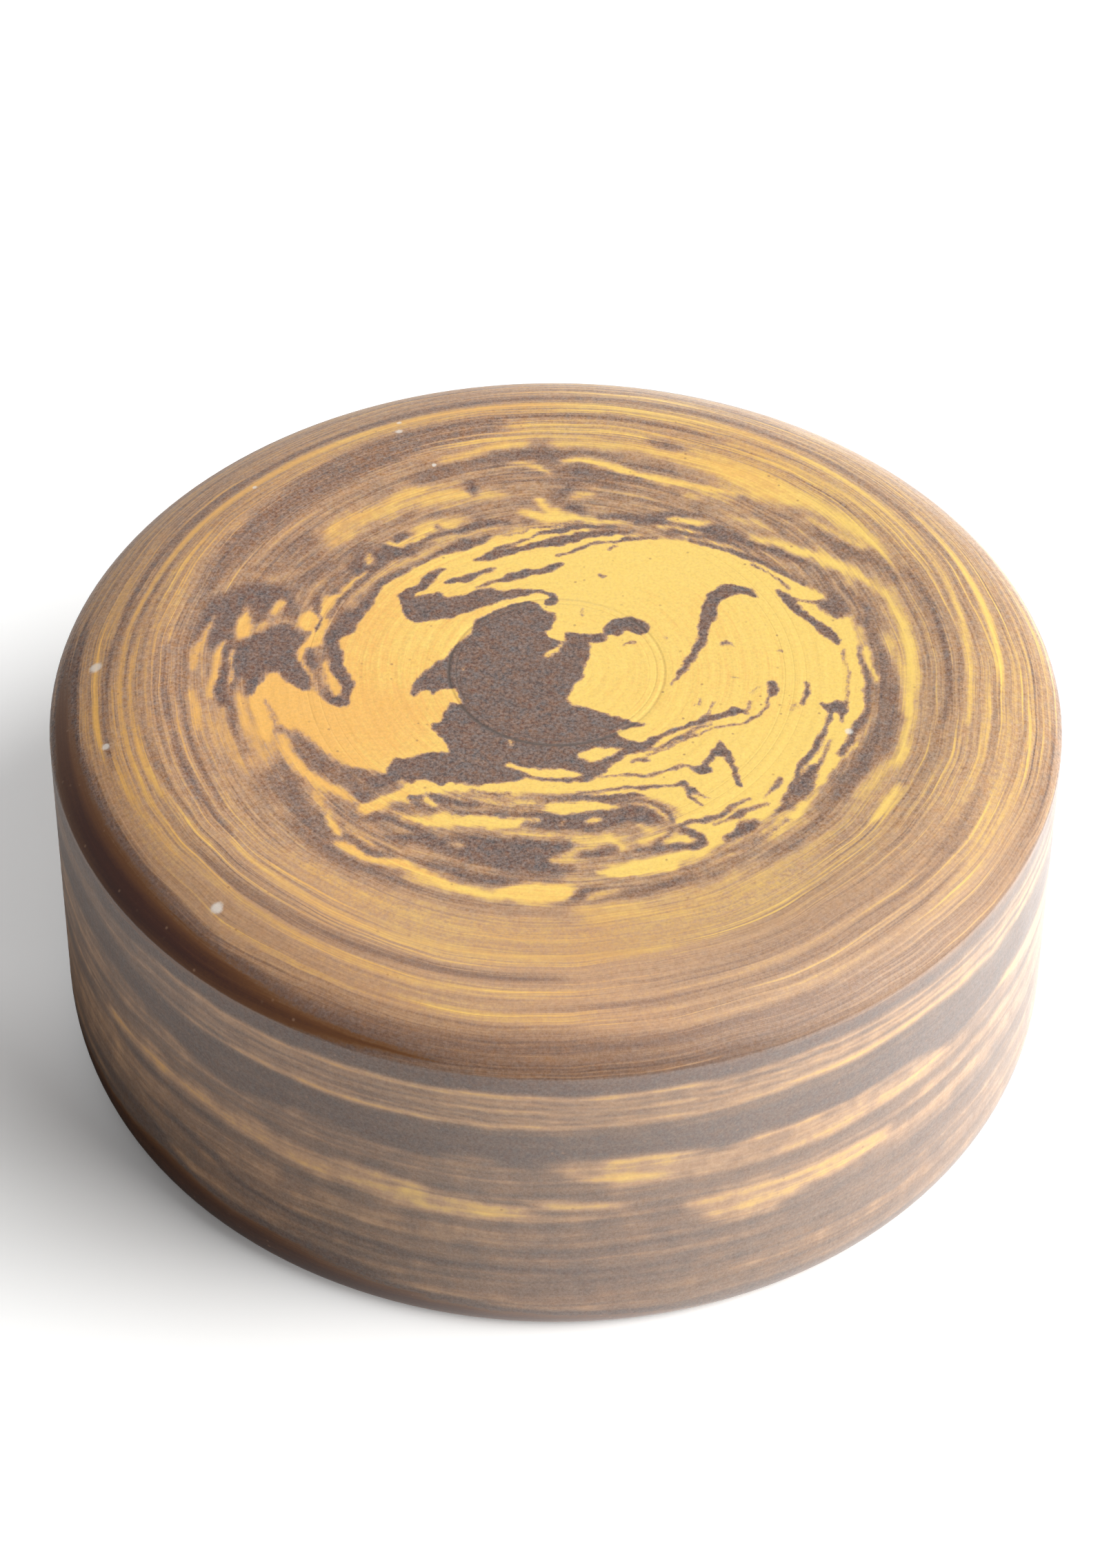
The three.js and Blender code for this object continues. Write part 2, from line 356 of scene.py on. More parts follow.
    (.72, 1, [(69, 30), (72, 27), (73.3, 24), (72.5, 20.5), (69.5, 20), (67, 22), (65.5, 24), (66, 26),
     (68, 27.5)]),
]

# Strokes of the top: tone, softness, points in X and Y with the half width at each
clayThreads = [
    # the dark band down the right
    (.86, 1.6, [(77.6, 24, .4), (78.6, 17, .6), (78.4, 10, .8), (80.2, 2, 1.5), (80.8, -8, 1.8),
     (80, -18, 2), (76.5, -26, 2.4), (71, -34, 2.2), (67.5, -40, 1.6), (64, -46, .6)]),
    # tan streaks round the dark mass at the left
    (.35, 1.2, [(-76, 12, .4), (-73, 16, .8), (-69, 17.5, .9), (-66, 17, .7), (-64.5, 15, .3)]),
    (.36, 1.4, [(-71, 19, .5), (-69.5, 22, .8), (-67.5, 26, .5)]),
    (.4, 1.5, [(-66, 20, .4), (-64.5, 24, .8), (-62, 29, .7), (-58, 33, .3)]),
    (.88, 1, [(-68, 28, .3), (-66.4, 24, .6), (-66.4, 20, .3)]),
    (.88, 1, [(-74.4, 18, .4), (-73, 23, .6), (-73, 28, .3)]),
    (.38, 1.4, [(-80, 36, .3), (-75, 34, .7), (-70, 33.6, .7), (-66, 35.5, .3)]),
    # soft brown streaks at the front of the field
    (.8, 2.2, [(-42, -50.5, .4), (-36, -48.6, 1), (-29, -48, 1.1), (-20, -49.4, 1), (-10, -50, .9),
     (0, -49.6, .4)]),
    (.7, 2.2, [(-38, -47, .4), (-31, -50, .9), (-22, -51.8, 1), (-12, -52.3, .8), (-6, -52, .4)]),
    (.75, 2, [(-26, -43.4, .3), (-18, -44.6, .8), (-8, -45, .9), (2, -44.4, .9), (10, -45.6, .7),
     (16, -47, .3)]),
    (.7, 2, [(14, -45.4, .3), (22, -45, .8), (27, -47.4, .9), (29, -50, .4)]),
    (.65, 2.2, [(38, -62, .3), (44, -58, 1), (50, -53, 1.2), (55, -47, 1.2), (59, -41, .6)]),
    (.7, 2.2, [(30, -66.5, .3), (36, -64.6, .9), (43, -61.4, .9), (48, -58, .4)]),
    # the comma
    (dark, .6, [(50.6, 28, .3), (48, 29.8, 1.2), (45, 30.2, 1.6), (42, 29.5, 2.3), (39.5, 26.8, 1.9),
     (38, 23, 1.8), (37.6, 20, 1.8), (36.8, 16, 1.3), (35.8, 11.5, 1.1), (34.3, 7, .9), (32.3, 2.8, .7),
     (30, -1, .4), (28.2, -4.8, .15)]),
    (dark, .6, [(55.6, 29.8, .4), (58, 26.8, 1.3), (60, 23.3, 1.2), (62, 20.3, .9), (64.5, 17.6, 1.1),
     (67.3, 15, 1.8), (68.8, 12.5, 1), (69.4, 10.5, .3)]),
    (.8, .6, [(59.5, 27.2, .3), (63, 26.3, .4), (66, 25.5, .6)]),
    # round the fish
    (dark, .6, [(-37, 29, 1), (-34, 31, 1.2), (-32, 34, 1.4), (-30, 36, .7), (-28.5, 37.6, .3)]),
    (dark, .6, [(-28, 32, .3), (-26, 33.3, .9), (-23, 34, 1.1), (-20, 35.5, .8), (-17, 37.2, .5),
     (-15.5, 38, .2)]),
    (dark, .6, [(-20, 31, .2), (-17, 32, .3), (-14, 33.5, .7), (-11, 34.8, 1.3), (-8, 35.8, 1.2),
     (-4, 37, 1), (-1, 38.5, 1.1), (1, 39.5, .7)]),
    (dark, .6, [(-20.5, 40.5, .2), (-18, 42, 1.2), (-15, 43.5, 1.3), (-11, 45, 1), (-7, 46.3, 1),
     (-3, 47.5, 1.4), (1, 48.8, 1.7), (5, 50, 1.5), (8.5, 51, 1.2), (12, 51.7, .8), (16, 52, .4),
     (19, 52, .2)]),
    (dark, .5, [(-16, 45.2, .3), (-12, 47, .35), (-8, 49.2, .35), (-4, 51.2, .5), (0, 52.5, .9),
     (5, 53.9, .8), (10, 54.4, .5), (15, 54.2, .2)]),
    (.8, .5, [(-12, 50.5, .2), (-7, 52.5, .4), (-2, 54.3, .5), (4, 55.6, .5), (10, 56, .3)]),
    (dark, .5, [(0, 43.2, .25), (3, 44, .4), (6, 45.7, .5), (10, 47.7, .45), (14, 48.6, .35),
     (18, 49.3, .7), (21, 49.4, .4), (25, 50, .2)]),
    (dark, .5, [(-7, 29.2, .5), (-4, 28.9, .5), (-2, 28, .5), (-.5, 26.9, 1.1), (-2, 25, 1)]),
    # specks in the ochre
    (.8, .5, [(10.6, 35.7, .4), (11.6, 35.2, .5)]), (.8, .5, [(13.2, 45.8, .5), (14.6, 46.8, .4)]),
    (.7, .5, [(6, 20.3, .3), (6.6, 22.8, .3)]),
    (.75, .5, [(16.5, 9.3, .3), (18, 10.2, .5), (19.3, 10.5, .2)]),
    (.7, .6, [(40.5, 9.6, .3), (42, 10.4, .7), (43.3, 9.9, .6), (43.8, 8.7, .2)]),
    (.8, .5, [(55.1, 7.7, .4), (55.5, 7.3, .4)]), (.7, .5, [(43.5, -2, .4), (44.6, -2.2, .4)]),
    (.7, .5, [(27, 12.7, .3), (27.6, 12.3, .4)]),
    (.7, .6, [(33.3, -12.2, .2), (34.8, -11.3, .5), (35.5, -9.5, .2)]),
    (.85, .6, [(61.3, -4, .4), (61.3, -7, .7), (60.4, -11, .4)]),
    (.5, .8, [(57, -13.5, .5), (58.5, -12, .9)]),
    (.85, .6, [(52.7, -4.2, .9), (53.5, -6, 1.2), (53.3, -8, .6)]),
    (.7, .5, [(48, -7.5, .25), (49, -5.5, .25), (50, -5.2, .2)]),
    # the heart's notches and flecks
    (ochre, .6, [(-1.5, 13.8, 1.1), (.6, 12.6, 1.1), (2, 11.2, .4)]),
    (.1, .6, [(-2, 5.2, .7), (-1, 7, .9), (1.3, 9.6, .4)]),
    (.2, .6, [(-11, -24.6, .6), (-10.9, -26.2, .6)]), (.25, .6, [(-23.2, .6, .4), (-23.1, -.1, .3)]),
    (.55, 1, [(-17, -2.3, .7), (-16.6, -5, .8)]), (.6, 1, [(-22, -31.8, .9), (-18, -32.3, .9)]),
    (dark, .5, [(11.4, 13, .5), (12.6, 14.5, .5)]),
    # threads that leave the heart at the right
    (dark, .5, [(23.5, -24.4, .9), (28, -21.8, .5), (32, -19.3, .5), (35.5, -17.6, .9), (39, -16.3, 1.1),
     (42, -15, .9), (44, -14, 1), (46.3, -14.8, .2)]),
    (.8, .5, [(36, -17, .4), (37.3, -13.5, .3), (38.5, -10.8, .15)]),
    (.8, .5, [(46, -14, .2), (47.2, -12, .4), (48, -10.3, .2)]),
    (.85, .5, [(21, -28.8, .3), (26, -26.3, .35), (31, -23, .55), (34, -20.3, .4), (38, -19, .2)]),
    (.8, .5, [(22, -30, .2), (28, -26.5, .25), (33, -23, .3), (37, -21, .3), (41, -19.5, .3),
     (45, -18.3, .4), (48, -16.3, .5), (50.5, -13.5, .35), (52, -9.5, .4), (53.3, -7.5, .6)]),
    (dark, .6, [(-8.5, -37.4, .3), (-4, -38.1, .4), (0, -38.4, .5), (4, -38.8, .6), (8, -37.4, .9),
     (11, -35, .8)]),
    (.7, .6, [(18.8, -32.4, .5), (20.5, -31.6, .9), (22.3, -31.5, .6)]),
    # the little mountain
    (dark, .6, [(39.6, -25.8, .9), (40, -28.3, 1.3)]),
    (dark, .6, [(38.5, -28, .9), (37.3, -30.5, .6), (36, -33, .6), (35, -34.5, .9)]),
    (dark, .6, [(34, -34.8, 1.1), (36.6, -34.6, 1)]),
    (dark, .6, [(41, -29, .8), (42, -32, .5), (43.3, -34.5, .45), (43.5, -37, .7), (43.8, -39.6, .6)]),
    (.85, .6, [(34, -34.3, .6), (31, -33.6, .4), (28, -34.7, .45), (25, -35.8, .5), (21, -36.7, .5),
     (16, -36.8, .3), (11, -37.5, .2)]),
    (.9, .6, [(5, -43, .2), (10, -42.2, .35), (15, -41.5, .4), (20, -40.8, .6), (25, -40.6, .5),
     (28, -40.3, .5), (30.5, -39.2, .7)]),
    (.9, .6, [(30.5, -39.5, .5), (32, -41.5, .5), (32.5, -44, .6), (34.5, -46.5, .4)]),
    (.8, .6, [(33, -41.5, .8), (35.5, -43.8, .4), (37, -44.3, .2)]),
    (dark, .6, [(5, -45, .3), (10, -44.6, .5), (15, -44, .5), (20.5, -43.6, .4)]),
    (.7, .8, [(-4, -46.5, .4), (0, -45.2, .7), (5, -44.8, .7), (10, -45.2, .5)]),
    (0, .8, [(-3, -49.2, .5), (3, -48.5, .8), (9, -47.4, 1.1), (14, -47, .3)]),
    (.85, .6, [(12, -45.6, .3), (17, -45.5, .3), (22, -46, .35), (25.5, -47.6, .5), (27, -50, .4),
     (27.6, -52.8, .4)]),
    (.2, .7, [(7.5, -53, .7), (9.5, -52, 1), (10.5, -51.7, .5)]),
    (.35, .7, [(1, -53.5, .5), (2, -52.6, .5)]),
    # round the lens at the lower left
    (.05, .7, [(-30.6, -45.2, .7), (-29, -47.3, .7)]),
    (.75, .7, [(-34, -45, .7), (-31.5, -48, .5), (-29, -50, .3)]),
    (.7, .6, [(-20, -42.4, .2), (-16, -43.3, .35), (-11, -43.2, .2)]),
    (.55, 1.2, [(-17, -47.6, .6), (-10, -48.3, .9), (-4, -47.6, .7)]),
    (.85, .6, [(-24, -49.8, .2), (-15, -50.6, .3), (-6, -50.6, .5), (-2, -50.4, .4)]),
    (.02, .8, [(-28, -51.3, .8), (-22, -52.3, 1.2), (-16, -53, 1.4), (-8.5, -53, .9)]),
    (.25, .7, [(-5.8, -52.6, .8), (-4, -52.3, .7)]),
    (.88, 1, [(-44, -51.5, .5), (-39, -52.3, 1), (-34, -55, .9), (-30, -57, 1.2)]),
    (.72, 1.6, [(-63, -23, 1.5), (-60, -28.5, 2.6), (-56, -33.5, 3), (-51, -37.5, 3.2), (-47, -40.5, 3),
     (-44, -43, 2)]),
    (.03, 1, [(-66.5, -24, .6), (-64, -30, 1.2), (-60.5, -36, 1.5), (-56, -40.5, 1.4), (-51.5, -43, 1.2),
     (-47.8, -46, .4)]),
    (.3, 1.2, [(-59.5, -41, .8), (-56.5, -45, 1.6), (-54, -50, .8)]),
    (.78, 2, [(-63, -40, .6), (-62, -43, 1.6), (-60, -49, 1.6), (-58, -54, 1.7), (-55.5, -60, 1.4),
     (-50, -65, 1.3), (-43, -68.7, 1), (-36, -70.5, .7)]),
    (.02, .8, [(-54, -51.3, .4), (-52.8, -54, .9), (-51, -57, .7)]),
    (.02, .9, [(-50.8, -60.3, .6), (-48, -62, 1.3), (-44.5, -64.7, 1.1), (-40, -66.3, 1),
     (-35.5, -67.3, 1.1)]),
    (.15, .8, [(-49.5, -55, .3), (-46, -58.8, .8), (-43.5, -61.3, .5)]),
    (.85, .8, [(-49, -57.3, .6), (-46, -61, .6), (-42.5, -63.8, .8), (-38, -64.5, .5)]),
    (.25, 1, [(-34.5, -71.2, .7), (-30.5, -73.5, .7)]),
    (.84, 1.6, [(-28, -67.5, .8), (-22, -70, 1.6), (-16, -72.3, 1.7), (-8, -71.5, 1), (0, -71.4, .8)]),
    (.22, 1, [(-12, -57, .6), (-6, -56.8, 1), (0, -57.2, 1), (6, -58, .9), (12, -57.5, .8)]),
    (.4, 1.2, [(-25, -60, .6), (-22.5, -61, .9)]),
    # the churned front
    (.15, 1, [(20.5, -59, .7), (23.5, -57.8, .9), (26.5, -56.3, .8)]),
    (.15, 1, [(14.5, -60.4, .7), (15.2, -61.6, .8)]), (.2, 1, [(12.6, -57, .7), (13.4, -59.2, .6)]),
    (.2, 1, [(20, -53.8, .6), (22, -55, .8)]), (.25, 1, [(-.5, -65.3, .8), (2.8, -64.6, 1)]),
    (.35, 1, [(3, -63.2, .4), (8, -61, .6), (12, -59.5, .4)]),
    (.95, 1, [(13.5, -61.8, .8), (10.5, -62.6, 1), (7, -63.8, .5)]),
    (.85, .7, [(27.7, -55.5, .4), (26, -58.3, .4), (24, -60, .5)]),
    (.02, .8, [(26.5, -59.8, .5), (30, -58, 1.2), (31.5, -58.3, .9)]),
    (dark, .7, [(30.5, -55.4, .7), (33, -56.2, 1.1), (34.6, -58, 1.1), (33.3, -60.1, .8),
     (29.5, -60.8, .6), (25, -61.3, .4), (19, -62.2, .3)]),
    (.9, .7, [(29.5, -53.8, .5), (32, -52.7, .6), (35, -51.8, .8), (39, -50, .8), (42, -47.6, .5),
     (46, -44.6, .5)]),
    (.85, .7, [(38, -53, .2), (41, -51.8, .5), (43.6, -50, 1), (46, -48.4, .5), (50.5, -45.8, .5)]),
    (dark, .8, [(47, -52.3, .9), (45, -53.9, 1.6), (42.5, -56.5, .9), (40.5, -58.3, .3)]),
    (.9, .7, [(53.6, -37.8, .8), (52.6, -40.6, .6), (50.4, -43.6, .3)]),
    (dark, .6, [(69, -12.3, 1.7), (66.5, -12.5, 1), (65.1, -11.2, .4)]),
    (dark, .6, [(69.2, -13, .9), (69.7, -17.2, .3)]),
    (.95, .6, [(67, -13.5, .8), (66, -17.5, .5), (65, -21.5, .7), (63, -26, .8), (60, -31, .7),
     (57.5, -36.5, .5), (56.3, -40.5, .4), (54.3, -46.5, .4), (53, -48.3, .3)]),
    (.7, 1, [(60, -38, 1.2), (58, -42, 1.6), (56, -47, 1)]),
    (.92, .8, [(61.8, -33.6, .9), (59.6, -38, 1.2), (57.6, -41.5, .8)]),
    (.8, .8, [(66.5, -24, .3), (64.5, -29, .4), (63, -34, .5), (61.5, -39, .5), (59.5, -44, .4)]),
    (.7, .8, [(55, -52, .3), (51, -56.3, .5), (46, -60, .5), (42, -62, .3)]),
    # the band that wraps the field from the right to the front
    (.76, 2.2, [(76, 33, .3), (78, 28, .5), (79.2, 23, .6), (79.4, 17, .7), (79.3, 10, .9), (80.8, 3, 1.7),
     (81.4, -4, 1.9), (81.6, -12, 2), (80.5, -19, 2.3), (78.5, -25, 3), (74.5, -31.5, 3.3), (70, -38, 3),
     (66.5, -44, 2.4), (62.8, -51, 1.6), (57.5, -57.5, 1.3), (50.5, -62.5, 1.5), (44, -66.5, 1.2),
     (37, -70, 1.1), (29, -72.8, 1.5), (22, -75.3, 1.5), (15, -77.3, 1), (9, -78.4, .5)]),
    (.9, .8, [(4, -78.6, .5), (6, -76.6, .8), (9.5, -75.2, .4)]),
    (.2, 1, [(8, -77.4, .7), (11, -76.4, .9), (15, -75.8, .3)]),
    (.9, .7, [(75.2, 9, .4), (75.8, 2, .6), (76.5, -5, .8), (76, -12, .7), (74.3, -17.5, 1.2),
     (71.5, -23, 1), (68.5, -29, .8)]),
    (.05, .6, [(76.3, 9, .4), (77.5, 3, .5), (78.6, -3, .3)]),
    (.65, .6, [(71, 8.5, .3), (71.7, 0, .4), (71.3, -8, .35), (70.5, -14, .25)]),
    (.08, 1, [(82.5, 30, .3), (84.5, 22.5, .4), (86.2, 17, .6), (87.2, 8, 1.1), (87.2, 0, 1.3),
     (86.6, -8, 1.3), (86, -15, .8), (84.8, -22, .7), (83.3, -28, .8), (81.6, -32, .7)]),
    (.25, .8, [(83.6, 32, .2), (86, 24, .4), (88.2, 14, .5), (89, 4, .4), (88.8, -6, .2)]),
    (.9, .7, [(73.6, 31.5, .3), (76, 27, .5), (77.4, 22, .5), (77.2, 17, .3)]),
    (.85, .7, [(71, 33, .3), (73.6, 28.5, .5), (75.2, 23, .5), (75.4, 18, .2)]),
    (.3, 1, [(82.7, 14, .5), (83.6, 8, .7), (84.8, 3, .8), (86, -1, .6), (86.5, -6, .3)]),
    (.3, 1.4, [(80, -33, 1.5), (76.5, -38, 1.6), (73, -43, 1)]),
    (.05, 1, [(82, -39.5, .4), (79, -46, 1), (75.5, -51.5, .5)]),
    # stripes up the left side
    (.2, .9, [(-85, 19, .4), (-86.5, 14, .7), (-88, 10, .9), (-88.8, 5, .8), (-89, 0, .4)]),
    (.95, .8, [(-85.6, 24.5, .8), (-87.5, 19, .6), (-88.8, 14, .6), (-89.6, 10, .3)]),
    (.08, .8, [(-82.3, 10, .6), (-83, 5, .9), (-83.8, 0, .7), (-83.6, -6, 1.2), (-84.5, -10, .6)]),
    (.95, .8, [(-81.3, 9, .5), (-81.3, 4, .4), (-81.8, -2, .7), (-82, -8, 1.2), (-81.5, -12, .8)]),
    (.1, .6, [(-79.8, 7, .25), (-80, 0, .4), (-79.7, -5, .3)]),
    (.2, 1, [(-89, -9, .6), (-87.8, -15, .8), (-86.5, -21, .6)]),
    (.85, .9, [(-80, -10, .7), (-79, -16, .5), (-77, -23, .6), (-75, -30, .5)]),
    (.3, 2, [(-74, -20, 1.5), (-73, -27, 2.2), (-70, -33, 1.6)]),
    (.6, 1.2, [(-70.5, -11, .3), (-69, -17, .6), (-66.5, -21.5, .8)]),
    (.1, .8, [(-68.6, 24.5, .5), (-70, 21.5, .7), (-70.2, 19.8, .3)]),
    (.85, .8, [(-59.5, 26.5, .4), (-60.2, 23, .9), (-59.9, 20.6, .4)]),
    (.9, .6, [(-59.7, 14, .2), (-58.7, 17, .4), (-59, 19.5, .2)]),
    (.05, .8, [(-56.3, 2, .4), (-56, -2, .9), (-54.6, -6, 1.3), (-53.6, -8.8, .7)]),
    (.55, 1, [(-58.5, -1, 1.2), (-58, -5, 1), (-57, -8, .6)]),
    (.95, .8, [(-60.8, 6.5, .6), (-60.3, 4, 1.5), (-60, 1.5, 1)]),
    # threads along the upper left edge of the field
    (.1, .8, [(-56.5, 21, .3), (-54, 27.5, .5), (-51, 33, .6), (-48.5, 36, .3)]),
    (.85, .6, [(-57, 19, .3), (-53.5, 26, .4), (-50, 31.5, .4), (-46.5, 36, .3)]),
    (.3, 1.2, [(-52, 24, .8), (-48, 31, 1.2), (-43, 36.5, 1), (-37, 41, .9), (-30, 46, .8), (-24, 49, .8)]),
    (.9, .8, [(-45.8, 27.5, .7), (-44, 31.5, .9), (-41, 34.5, .8), (-37.5, 37.2, .3)]),
    (.9, .6, [(-35, 38.8, .3), (-31, 42.6, .4), (-28, 44.5, .8), (-24, 46, 1), (-21, 48, .8),
     (-17, 50, .4)]),
    (.85, 1, [(-25.5, 46.5, .8), (-23.5, 48.2, 1.3), (-21, 48.6, .6)]),
    (.05, .8, [(-20, 45, .5), (-16, 47.5, .8), (-11, 49.6, .6), (-6, 51.6, .4)]),
    (.25, 1, [(-30, 48.5, .5), (-24, 51.5, .8), (-17, 53.3, .9), (-10, 54.3, .7)]),
    (.95, .8, [(-43, 45.6, 1), (-40, 44.9, 1), (-36, 47.6, 1), (-32, 50, .8), (-27, 51.5, .7),
     (-23, 53.2, 1.2), (-18, 55, 1), (-13, 56, .4)]),
    (.95, .8, [(-41.5, 47.8, .6), (-40, 49, 1.4), (-38.4, 50.4, .8)]),
    (.05, .7, [(-42.6, 47, .5), (-40.5, 46.1, .5), (-37.5, 47.6, .6), (-34, 50.2, .8)]),
    (.25, 1, [(-48, 43, .8), (-47, 39.8, 1.2)]),
    (.85, .9, [(-23, 71.5, .7), (-22, 68.8, 1.2), (-21.4, 67.4, .6)]),
    (.85, .6, [(-31, 53.4, .4), (-30.2, 53.3, .5)]),
    # the churned back
    (.8, 2, [(-36, 72.5, 1), (-28, 76.3, 1.5), (-20, 79.8, 1.6), (-13, 82.4, 2), (-7, 83, 3),
     (-1, 82.5, 2.9), (5, 83.8, 1.3), (11, 82.6, .8), (15, 81, .4)]),
    (.15, 1.2, [(-30, 80, .5), (-22, 83.3, .9), (-14, 86.2, 1.1), (-8, 87.3, .8)]),
    (.8, 1.6, [(14, 78.8, .5), (19, 77.8, 1.2), (24, 77.3, 1), (30, 75.8, .5)]),
    (.1, 1, [(-12, 79, .3), (-8, 78.8, .7), (-4, 77, .8), (-2, 75.8, .7)]),
    (.05, 1, [(2, 79.8, .8), (7, 80.5, 1), (12, 78.5, 1.3), (17, 76.3, 1.3), (22, 74.5, 1.4),
     (27, 72.4, 1.2), (33, 71, .8), (39, 69.7, 1), (46, 67.3, .7)]),
    (.8, 1.6, [(2, 76.8, 1.2), (6, 77.2, 1.6), (10, 76.3, 1.3), (14, 75.4, .5)]),
    (.8, 1.6, [(2, 73.6, .6), (8, 73.8, 1.3), (13, 72.6, 1.5), (19, 72.8, 1.2), (25, 70.8, .6)]),
    (.82, 1.4, [(0, 66, 1.4), (2, 68.5, 1.8), (4, 70.5, 1.4)]), (.2, 1, [(4, 66, .6), (8.5, 66.5, .5)]),
    (.1, 1, [(-4.5, 64.5, .9), (-3, 61.5, 1.1), (-.5, 59.8, 1.4)]),
    (.1, 1, [(-9, 59.5, .8), (-6, 58.6, 1.3), (-2, 57, 1.5), (4, 57.3, 1.1), (9, 56.6, .8), (15, 56.2, .6),
     (19, 56.4, .3)]),
    (.92, 1, [(3.5, 61.6, 1.2), (6.2, 60.3, .9)]),
    (.9, 1, [(11, 58, .6), (17, 58, 1.1), (23, 57.8, 1.4), (28, 58.2, 1.4), (32, 59.4, .7),
     (36, 58.6, .4)]),
    (.95, .8, [(20, 56.4, .4), (27, 56, .9), (33, 55, .8), (38, 53.5, 1.3), (43, 51.4, 1.2), (48, 49, 1),
     (53, 46.3, .8), (58, 43.5, .6), (63, 41, .5)]),
    (.03, .9, [(28.5, 57.2, .5), (33, 56.7, 1.2), (38, 55.4, .5)]),
    (.1, .7, [(26, 54.4, .4), (31, 53.6, .5), (36, 52.2, .3)]),
    (.9, .6, [(29, 52.2, .6), (34, 51.3, .5), (39, 50.1, .6), (43, 48.3, .5), (48, 45.8, .4)]),
    (.15, .7, [(33, 50.2, .4), (38, 48.9, .4), (43, 46.7, .5), (47, 44.8, .3)]),
    (.9, .6, [(34, 48.8, .5), (39, 47.2, .5), (44, 44.9, .6), (49, 42.4, .6), (54, 39.3, .7),
     (59, 35.4, .5), (62, 33, .3)]),
    (.85, .5, [(49.5, 39.8, .3), (52.5, 37.3, .35), (56, 33.8, .35), (58.5, 30.8, .3)]),
    (.13, 1.8, [(0, 87, .8), (8, 87.3, .8), (15, 86.8, .9), (22, 85.6, 1.1), (28, 83.6, 1.7),
     (35, 81.2, 2), (42, 77.8, 3.2), (48, 74, 4.2), (55, 69.3, 4.6), (60, 66.5, 3.4), (65, 63.8, 2),
     (70, 60, 1.5), (75, 55.3, 1.8), (79, 50.4, 1.4), (82.3, 45, .8), (84.3, 40.5, .3)]),
    (.85, 1.2, [(25, 88.5, .4), (29, 86.8, 1), (33, 85.2, .4)]),
    (.1, 1.3, [(50, 50, .8), (56, 48, 1.3), (62, 45, 1.7), (67, 42.5, 2.1), (72, 39.3, 1.7),
     (76, 35.8, 1.2), (79, 32.6, .7), (81.5, 28.5, .3)]),
    (.78, 2.2, [(66, 53, .9), (70, 50, 1.8), (74, 46.8, 2.5), (78, 43.5, 2), (82, 40, 1.2),
     (85, 35.5, .7)]),
    (.2, 1, [(57, 58.8, .5), (59.2, 56.6, .5)]), (.85, .7, [(56, 60, .3), (60, 57.4, .3)]),
    (.12, 1.2, [(64, 57.5, .4), (69, 54, .7), (74, 49.8, .8), (78.5, 46, .5)]),
    (.3, 1.4, [(33, 66, 1), (38, 67.3, 1), (44, 65, .8)]),
    (.35, 1.4, [(44, 58, .6), (50, 56, .8), (56, 53.5, .5)]),
]

